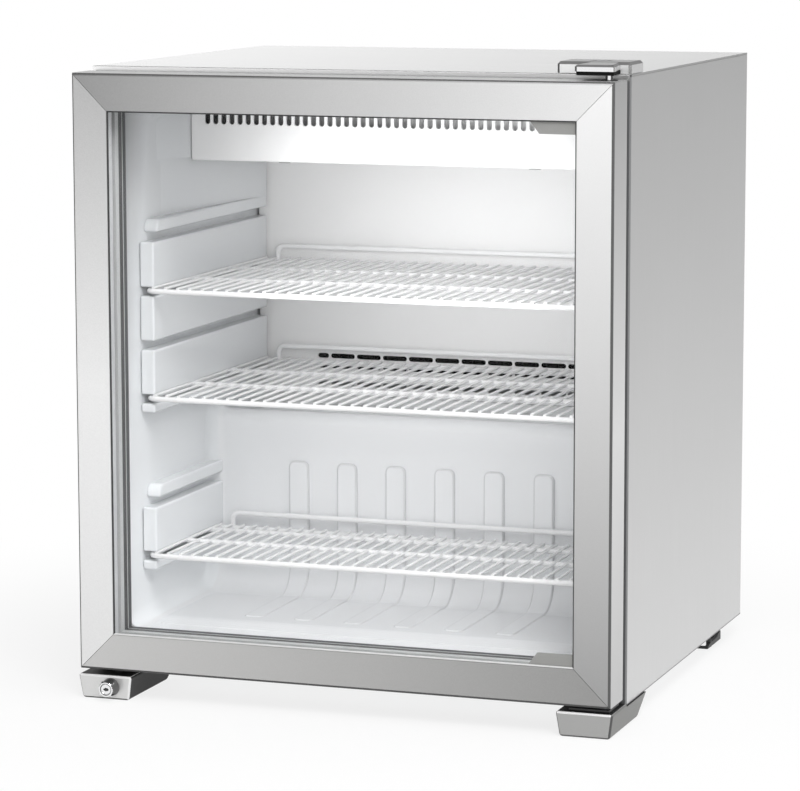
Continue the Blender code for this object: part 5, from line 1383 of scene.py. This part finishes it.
def make_front_feet():
    """Tapered foot blocks with a step for the cabinet's front edge."""
    for node, side, front in (("front_foot_left", -1, FOOT_FRONT_LIT), ("front_foot_right", 1, FOOT_FRONT_SHADED)):
        low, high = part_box(node)
        outer = side * (CABINET_HALF + FOOT_PROUD)
        low.x, high.x = sorted((outer, outer - side * FOOT_WIDTH))
        step_y = CABINET_FRONT - FOOT_GAP
        step_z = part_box("base_plate")[0].z - FOOT_GAP
        outline = [(low.y + SOLE_SETBACK, 0.0), (low.y + SOLE_LENGTH, 0.0), (high.y, step_z),
                   (step_y, step_z), (step_y, high.z), (low.y, high.z)]
        mesh = slab(outline, "X", low.x, high.x)
        middle = (low.x + high.x) / 2
        half = (high.x - low.x) / 2
        for vert in mesh.verts:
            taper = FOOT_TAPER * (1.0 - vert.co.z / high.z)
            vert.co.x = middle + (vert.co.x - middle) * (1.0 - taper / half)
        round_edges(mesh, FOOT_ROUND, 5, lambda edge: min(vert.co.y for vert in edge.verts) < step_y - TINY)
        # Painted light on the feet: shaded outer and inner sides, a painted highlight on the top front edge,
        # black tops as painted shade under the door, and painted shade on the lower and corner faces.
        mark(mesh, 1, lambda normal: normal.x * side > 0.7)
        mark(mesh, 2, lambda normal: normal.x * side < -0.7)
        mark(mesh, 3, lambda normal: normal.z > 0.25 and normal.y < -0.25)
        mark(mesh, 4, lambda normal: normal.z > 0.9)
        mark(mesh, 5, lambda normal: normal.z < -0.3 and normal.y < -0.3)
        mark(mesh, 5 if side > 0 else 3, lambda normal: normal.x > 0.4 and normal.y < -0.4)
        mark(mesh, 5, lambda normal: normal.x < -0.5 and normal.y < -0.3)
        piece(node + "_block", mesh, front, "cabinet", [node],
              more=[FOOT_OUTSIDE, FOOT_INSIDE, PAINTED_HIGHLIGHT, BLACK_PLASTIC, FOOT_SHADE])


def make_rear_feet():
    """Low black feet with a hollow, a web at the inner side and a boss."""
    for node in ("rear_foot_left", "rear_foot_right"):
        low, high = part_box(node)
        middle = (low.x + high.x) / 2
        side = math.copysign(1.0, middle)
        outline = [(low.y, 0.0), (high.y, 0.0), (high.y, HEEL_TOP), (high.y - HEEL_LENGTH, HEEL_TOP),
                   (high.y - HEEL_FOOT[0], HEEL_FOOT[1]), (low.y + TOE_CREST[0], TOE_CREST[1]),
                   (low.y, TOE_TOP)]
        window = block((low.x + FOOT_WALL, low.y + FOOT_WINDOW[0], -WINDOW_PAST),
                       (high.x - FOOT_WALL, high.y - FOOT_WINDOW[1], high.z))
        body = drilled(round_edges(slab(outline, "X", low.x, high.x), REAR_FOOT_ROUND, 3), window)
        inner = middle - side * (high.x - low.x) / 2
        start, end = sorted((inner, inner + side * WEB_WIDTH))
        web = round_edges(block((start, high.y - WEB_DEPTH, WEB_FOOT), (end, high.y, high.z)), WEB_ROUND)
        boss = disc_stack(BOSS_PROFILE, (middle + side * BOSS_OUT, low.y + BOSS_IN, 0.0), UP, 32)
        piece(node + "_block", gather([body, web, boss]), BLACK_PLASTIC, "cabinet", [node])


def make_top_hinge():
    """Polished top hinge: a chamfered base with a cap recess, and an arm over the door on a black block that
    paints the shadow under the arm.
    """
    low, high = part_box("top_hinge_bracket")
    base_low = Vector((HINGE_ENDS[0], CABINET_FRONT + HINGE_SETBACK, low.z))
    base_high = Vector((HINGE_ENDS[1], base_low.y + HINGE_DEPTH, high.z))
    base = block(base_low, base_high)
    edges = sharp_edges(base, lambda edge: any(face.normal.z > 0.5 for face in edge.link_faces)
                        or abs(edge.verts[0].co.z - edge.verts[1].co.z) > HINGE_UPRIGHT)
    bevel(base, edges, HINGE_CHAMFER, 1)
    middle = (base_low.x + base_high.x) / 2
    recess = disc_stack(((CAP_RADIUS, 0.0), (CAP_RADIUS, CAP_HEIGHT)), (middle, 0, 0), UP)
    bmesh.ops.scale(recess, vec=(1.0, CAP_SQUASH, 1.0), verts=recess.verts)
    bmesh.ops.translate(recess, vec=(0, base_low.y + CAP_REACH, high.z - CAP_DEPTH), verts=recess.verts)
    base = drilled(base, recess)
    # The base's front faces get a painted highlight.
    for face in base.faces:
        if face.normal.y < -0.9 and face.calc_center_median().y < base_low.y + TINY:
            face.material_index = 4
    left, front, foot = Vector((ARM_LEFT, low.y, ARM_FOOT))
    rear, top = base_low.y + ARM_LAP, high.z - ARM_SUNK
    nose = [(left, rear), (left, front + NOSE_CUT), (left + NOSE_CUT, front),
            (NOSE_RIGHT - NOSE_BLUNT, front), (NOSE_RIGHT, front + NOSE_BLUNT), (ARM_ROOT, base_low.y),
            (ARM_ROOT, rear)]
    arm = slab(nose, "Z", foot, top)
    bevel(arm, [edge for edge in arm.edges if lies_at(edge, "z", top)], ARM_CHAMFER, 1)
    bracket = gather([base, arm])
    # Painted shade on the chamfers, the left faces and the top, and a painted darker reflection on the right
    # sides.
    mark(bracket, 1, lambda normal: normal.z > 0.3 or normal.x < -0.3)
    mark(bracket, 2, lambda normal: normal.z > 0.9)
    mark(bracket, 3, lambda normal: normal.x > 0.3 and normal.z < 0.3)
    piece("top_hinge", bracket, CHROME, "cabinet", ["top_hinge_bracket"], 20,
          [HINGE_SHADE, HINGE_TOP, HINGE_SIDE, HINGE_FRONT])
    # A black block under the arm paints the shadow there.
    rear = CABINET_FRONT + HINGE_SHADOW_REAR
    side, face = left + HINGE_SHADOW_INSET, front + HINGE_SHADOW_INSET
    outline = [(side, rear), (side, front + HINGE_SHADOW_CUT), (left + HINGE_SHADOW_CUT, face),
               (HINGE_SHADOW_FACE_END, face), (HINGE_SHADOW_RIGHT, front + 2 * HINGE_SHADOW_INSET),
               (HINGE_SHADOW_ROOT, rear)]
    pad = slab(outline, "Z", CABINET_TOP + HINGE_SHADOW_FOOT, foot - HINGE_SHADOW_GAP)
    piece("top_hinge_shadow_block", round_edges(pad, HINGE_SHADOW_ROUND, 2), COIL_COAT_AND_SHADOW, "cabinet")


def make_hinge_pins():
    """The two pins that the door turns on, and the plate that carries the lower one."""
    axis = (*HINGE_AXIS, 0.0)
    low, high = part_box("top_hinge_pin")
    pin = disc_stack(((PIN_RADIUS, low.z), (PIN_RADIUS, high.z)), axis, UP, 40)
    # The pin's flanks get painted shade as dark reflections.
    mark(pin, 1, lambda normal: abs(normal.x * PIN_SHADE[0] + normal.y * PIN_SHADE[1]) > 0.5)
    piece("top_pin", pin, CHROME, "cabinet", ["top_hinge_pin"], more=[HINGE_SHADE])
    low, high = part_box("bottom_hinge_pin")
    profile = ((PIN_RADIUS, low.z), (PIN_RADIUS, high.z - PIN_TIP), (PIN_RADIUS - PIN_TIP, high.z))
    pin = disc_stack(profile, axis, UP, 40)
    piece("bottom_pin", pin, CHROME, "cabinet", ["bottom_hinge_pin"])
    plate = round_edges(block(*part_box("bottom_hinge_plate")), HINGE_PLATE_ROUND)
    piece("bottom_plate", plate, BLACK_PAINT, "cabinet", ["bottom_hinge_plate"])


def make_lock():
    """Cone-fronted cylinder lock in the left foot."""
    low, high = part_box("lock_housing")
    x, z = hub("lock_housing")
    centre = (x, 0.0, z)
    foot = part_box("front_foot_left")[0].y
    profile = [(radius, low.y + depth) for radius, depth in LOCK_NOSE]
    profile += [(radius, foot - depth) for radius, depth in LOCK_FLANGE]
    profile += [(LOCK_SHANK, foot), (LOCK_SHANK, high.y), (LOCK_BORE, high.y)]
    notches, marks = [], []
    for angle in LOCK_MARKS:
        turn = Matrix.Rotation(math.radians(angle), 3, "Z")
        for (start, end), kept in ((LOCK_NOTCH, notches), (LOCK_TICK, marks)):
            made = block((*start[:2], low.y + start[2]), (*end[:2], low.y + end[2]))
            bmesh.ops.rotate(made, verts=made.verts, cent=(0, 0, 0), matrix=turn)
            bmesh.ops.transform(made, matrix=aimed(centre, REARWARD), verts=made.verts)
            kept.append(made)
    ring = drilled(collar(profile, centre, REARWARD, 64), gather(notches))
    # The ring's flanks get a painted dark reflection.
    mark(ring, 1, lambda normal: -0.7 < normal.y < 0.5)
    piece("lock_ring", ring, CHROME, "cabinet", ["lock_housing"], 30, [LOCK_GREY])
    piece("lock_marks", gather(marks), CHROME, "cabinet")
    near, far = (corner.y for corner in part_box("lock_plug"))
    profile = [(radius, near + depth) for radius, depth in PLUG_NOSE] + [(PLUG_RADIUS, far)]
    hole = slab([(x + a, z + b) for a, b in KEYHOLE], "Y", near + KEYHOLE_CUT[0], near + KEYHOLE_CUT[1])
    plug = drilled(disc_stack(profile, centre, REARWARD, 64), hole)
    piece("lock_cylinder", plug, CHROME, "plug", ["lock_plug"], 30)
    outline = [(x + a * SHUTTER_SHARE, z + b * SHUTTER_SHARE) for a, b in KEYHOLE]
    shutter = slab(outline, "Y", near + SHUTTER_DEPTHS[0], near + SHUTTER_DEPTHS[1])
    piece("lock_shutter", shutter, BLACK_PLASTIC, "plug")
    # The bolt is black as painted shade in the gap under the door.
    dress("lock_bolt", BLACK_PAINT)


# Back

def screw_heads(places, depth):
    """Cross-recessed pan heads that face the rear."""
    profile = [(SCREW_RADIUS * out, SCREW_HEIGHT * rise) for out, rise in SCREW_PROFILE]
    reach, half = SCREW_RADIUS * RECESS_REACH, SCREW_RADIUS * RECESS_HALF
    cross = [(-half, -reach), (half, -reach), (half, -half), (reach, -half), (reach, half), (half, half),
             (half, reach), (-half, reach), (-half, half), (-reach, half), (-reach, -half), (-half, -half)]
    start, end = (depth + SCREW_HEIGHT * share for share in RECESS_DEPTHS)
    heads = [disc_stack(profile, (x, depth, z), REARWARD, 24) for x, z in places]
    recesses = [slab([(x + a, z + b) for a, b in cross], "Y", start, end) for x, z in places]
    return drilled(gather(heads), gather(recesses))


def make_back_panel():
    """Galvanised back sheet with pressed ribs, screwed on round its edge."""
    low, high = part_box("back_panel")
    edge = (low.x, high.x, low.z, high.z)
    hem = tube_ring(edge, inset(edge, BACK_HEM), high.y - BACK_HEM_RISE, high.y + BACK_HEM_RISE)
    parts = [round_edges(block(low, high), SKIN_ROUND, 2), round_edges(hem, BACK_HEM_ROUND)]
    for x in BACK_RIB_PLACES:
        rib = pill(x - BACK_RIB_HALF, x + BACK_RIB_HALF, *BACK_RIB_LEVELS, high.y - BACK_RIB_ROOT,
                   high.y + BACK_RIB_HEIGHT, 6)
        crest = [edge for edge in rib.edges if all(vert.co.y > high.y + TINY for vert in edge.verts)]
        parts.append(bevel(rib, crest, BACK_RIB_HEIGHT, 4))
    piece("back_sheet", gather(parts), GALVANISED, "cabinet", ["back_panel"])
    piece("back_screws", screw_heads(BACK_SCREWS, high.y), SPACER, "cabinet")


def louvre(left, bottom, face):
    """A pressed hood over one slot, open downwards."""
    right = left + LOUVRE_LENGTH
    top = bottom + LOUVRE_HEIGHT + LOUVRE_LAP
    root = face - LOUVRE_SKIN / 2
    tall = top - bottom
    outside, inside = [], []
    for step in range(LOUVRE_STEPS + 1):
        angle = math.pi / 2 * step / LOUVRE_STEPS
        outside.append((face + LOUVRE_REACH * math.sin(angle), bottom + tall * math.cos(angle)))
        inside.append((face + (LOUVRE_REACH - LOUVRE_SKIN) * math.sin(angle),
                       bottom + (tall - LOUVRE_SKIN) * math.cos(angle)))
    skin = slab([(root, top)] + outside + inside[::-1] + [(root, top - LOUVRE_SKIN)], "X", left, right)
    cheeks = [slab([(root, bottom), (root, top)] + outside, "X", end, end + LOUVRE_SKIN)
              for end in (left - LOUVRE_SKIN, right)]
    return [skin] + cheeks


def make_grille():
    """Rear grille: louvres over its slots, and holes for the controls and the mains gland."""
    low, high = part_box("rear_grille")
    near, far = low.y - LOUVRE_SKIN, high.y + LOUVRE_SKIN
    holes, hoods = [], []
    for left in LOUVRE_STARTS:
        for row in range(LOUVRE_COUNT):
            bottom = low.z + LOUVRE_RISE + row * LOUVRE_PITCH
            holes.append(block((left, near, bottom), (left + LOUVRE_LENGTH, far, bottom + LOUVRE_HEIGHT)))
            hoods += louvre(left, bottom, high.y)
    for node, radius in GRILLE_HOLES:
        x, z = hub(node)
        holes.append(disc_stack(((radius, near), (radius, far)), (x, 0.0, z), REARWARD, 32))
    start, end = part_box("lamp_switch")
    holes.append(block((start.x - SWITCH_GAP, near, start.z - SWITCH_GAP),
                       (end.x + SWITCH_GAP, far, end.z + SWITCH_GAP)))
    sheet = drilled(round_edges(block(low, high), SKIN_ROUND, 2), gather(holes))
    piece("grille_sheet", gather([sheet] + hoods), GALVANISED, "cabinet", ["rear_grille"])
    piece("grille_screws", screw_heads(GRILLE_SCREWS, high.y), SPACER, "cabinet")


def make_knob():
    """Fluted thermostat knob with a white pointer, and its scale on the grille."""
    low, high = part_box("thermostat_knob")
    x, z = hub("thermostat_knob")
    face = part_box("rear_grille")[1].y
    seat = face + KNOB_SEAT
    deck = seat + KNOB_SKIRT
    skirt = (high.x - low.x) / 2
    crown = high.y - KNOB_EASE
    shoulder = KNOB_GRIP - KNOB_DRAFT
    profile = [(KNOB_SPINDLE, low.y), (KNOB_SPINDLE, seat), (skirt - KNOB_EASE, seat),
               (skirt, seat + KNOB_EASE), (skirt, deck - KNOB_EASE), (skirt - KNOB_EASE, deck),
               (KNOB_GRIP, deck), (shoulder, crown - KNOB_SHOULDER), (shoulder - KNOB_SHOULDER, crown)]
    profile += [(radius, crown - depth) for radius, depth in KNOB_DISH]
    body = disc_stack(profile, (x, 0.0, z), REARWARD, 72)
    reach = KNOB_GRIP + FLUTE_OUT
    flute = ((FLUTE_RADIUS, deck + FLUTE_LIFT), (FLUTE_RADIUS, high.y))
    flutes = []
    for step in range(KNOB_FLUTES):
        angle = FULL_TURN * (step + 0.5) / KNOB_FLUTES
        place = (x + reach * math.sin(angle), 0.0, z + reach * math.cos(angle))
        flutes.append(disc_stack(flute, place, REARWARD, 12))
    knob = drilled(body, gather(flutes))
    piece("knob_body", knob, BLACK_PLASTIC, "knob", ["thermostat_knob"], 30)
    lines = []
    for near, far, start, end in ((crown, high.y - POINTER_GAP, POINTER_START, KNOB_GRIP - POINTER_END),
                                  (deck, deck + POINTER_GAP, KNOB_GRIP + POINTER_GAP, skirt - POINTER_FOOT)):
        line = block((x - POINTER_HALF, near - POINTER_SUNK, z + start), (x + POINTER_HALF, far, z + end))
        lines.append(round_edges(line, POINTER_ROUND, 2))
    piece("knob_pointer", gather(lines), PANEL_WHITE, "knob")
    ticks = []
    for step in range(SCALE_TICKS):
        share = step / (SCALE_TICKS - 1)
        end = SCALE_RADIUS + TICK_LENGTH + TICK_GROWTH * share
        tick = block((-TICK_HALF, face - TICK_PROUD, SCALE_RADIUS), (TICK_HALF, face + TICK_PROUD, end))
        turn = Matrix.Rotation(SCALE_TURN * share, 3, "Y")
        bmesh.ops.rotate(tick, verts=tick.verts, cent=(0, 0, 0), matrix=turn)
        bmesh.ops.translate(tick, verts=tick.verts, vec=(x, 0.0, z))
        ticks.append(tick)
    piece("thermostat_scale", gather(ticks), BLACK_PAINT, "cabinet")


def make_switch():
    """Lamp rocker with its two marks, in a bezel on the grille."""
    low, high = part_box("lamp_switch")
    x, z = hub("lamp_switch")
    sheet_front, face = (corner.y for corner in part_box("rear_grille"))
    radius = (high.z - low.z) / 2
    nose = face + ROCKER_RISE
    outline = []
    for step in range(ROCKER_STEPS + 1):
        angle = math.pi * (0.5 + step / ROCKER_STEPS)
        outline.append((sheet_front + radius * math.cos(angle), z + radius * math.sin(angle)))
    outline += [(high.y, z - ROCKER_WAIST), (nose, z), (nose, z + ROCKER_WAIST)]
    rocker = round_edges(slab(outline, "X", low.x, high.x), ROCKER_ROUND)
    piece("switch_rocker", rocker, BLACK_PLASTIC, "rocker", ["lamp_switch"], 30)
    profile = corners_of(*MARK_RING, nose - MARK_SUNK, nose + MARK_PROUD)
    ring = collar(profile, (x, 0.0, z + ROCKER_WAIST / 2), REARWARD, 32)
    bar = block((-MARK_HALF, -MARK_SUNK, -MARK_BAR), (MARK_HALF, MARK_PROUD, MARK_BAR))
    lean = Matrix.Rotation(math.atan2(high.y - nose, ROCKER_WAIST), 3, "X")
    bmesh.ops.rotate(bar, verts=bar.verts, cent=(0, 0, 0), matrix=lean)
    bmesh.ops.translate(bar, verts=bar.verts, vec=(x, (nose + high.y) / 2, z - ROCKER_WAIST / 2))
    piece("switch_marks", gather([ring, bar]), PANEL_WHITE, "rocker")
    hole = (low.x - BEZEL_GAP[0], high.x + BEZEL_GAP[0], z - radius - BEZEL_GAP[1], z + radius + BEZEL_GAP[1])
    bezel = round_edges(tube_ring(inset(hole, -BEZEL_WIDTH), hole, face, face + BEZEL_RISE), BEZEL_ROUND)
    piece("switch_bezel", bezel, BLACK_PLASTIC, "cabinet")


def make_gland():
    """Mains gland: a flanged body through the grille and a faceted nut, its bore empty."""
    low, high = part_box("mains_gland")
    x, z = hub("mains_gland")
    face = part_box("rear_grille")[1].y + GLAND_SEAT
    flange = (high.x - low.x) / 2
    profile = [(GLAND_BORE, low.y), (GLAND_BODY, low.y), (GLAND_BODY, face)]
    profile += [(flange + out, face + depth) for out, depth in GLAND_FLANGE]
    profile += [(GLAND_BODY + out, face + depth) for out, depth in GLAND_NECK]
    profile.append((GLAND_BORE + GLAND_MOUTH, profile[-1][1]))
    barrel = collar(profile, (x, 0.0, z), REARWARD, 48)
    profile = [(GLAND_BORE + NUT_LIP[-1][0], face + NUT_FOOT), (GLAND_BODY + NUT_EDGE[0][0], face + NUT_FOOT)]
    profile += [(GLAND_BODY + out, high.y - depth) for out, depth in NUT_EDGE]
    profile += [(GLAND_BORE + out, high.y - depth) for out, depth in NUT_LIP]
    nut = collar(profile, (x, 0.0, z), REARWARD, 12)
    piece("gland_body", gather([barrel, nut]), BLACK_PLASTIC, "cabinet", ["mains_gland"], 25)


def dress_the_rest():
    for finish, nodes in (
            (GALVANISED, ("base_plate", "evaporator_fan_motor", "condenser_fan_motor", "fan_shroud")),
            # The evaporator fins' dark coat also paints the shade seen through the return slots.
            (COIL_COAT_AND_SHADOW, ("evaporator_fins",)),
            (FINS, ("condenser_fins",)),
            (COPPER, ("evaporator_tube", "discharge_tube", "suction_tube", "filter_drier")),
            (BLACK_PLASTIC, ("evaporator_fan", "condenser_fan", "relay_box", "drip_tray")),
            (BLACK_PAINT, ("compressor",)),
            (PANEL_WHITE, ("control_box",))):
        for node in nodes:
            dress(node, finish)


make_camera()
make_world()
make_floor()
make_lights()
make_door_frame()
make_glazing()
make_gasket()
make_light_bar()
make_bushes()
make_shell()
make_room()
make_foam()
make_rails()
make_ribs()
make_duct_panel()
make_air_cover()
make_shelves()
make_front_feet()
make_rear_feet()
make_top_hinge()
make_hinge_pins()
make_lock()
make_back_panel()
make_grille()
make_knob()
make_switch()
make_gland()
dress_the_rest()
bpy.context.scene.view_settings.view_transform = "Standard"
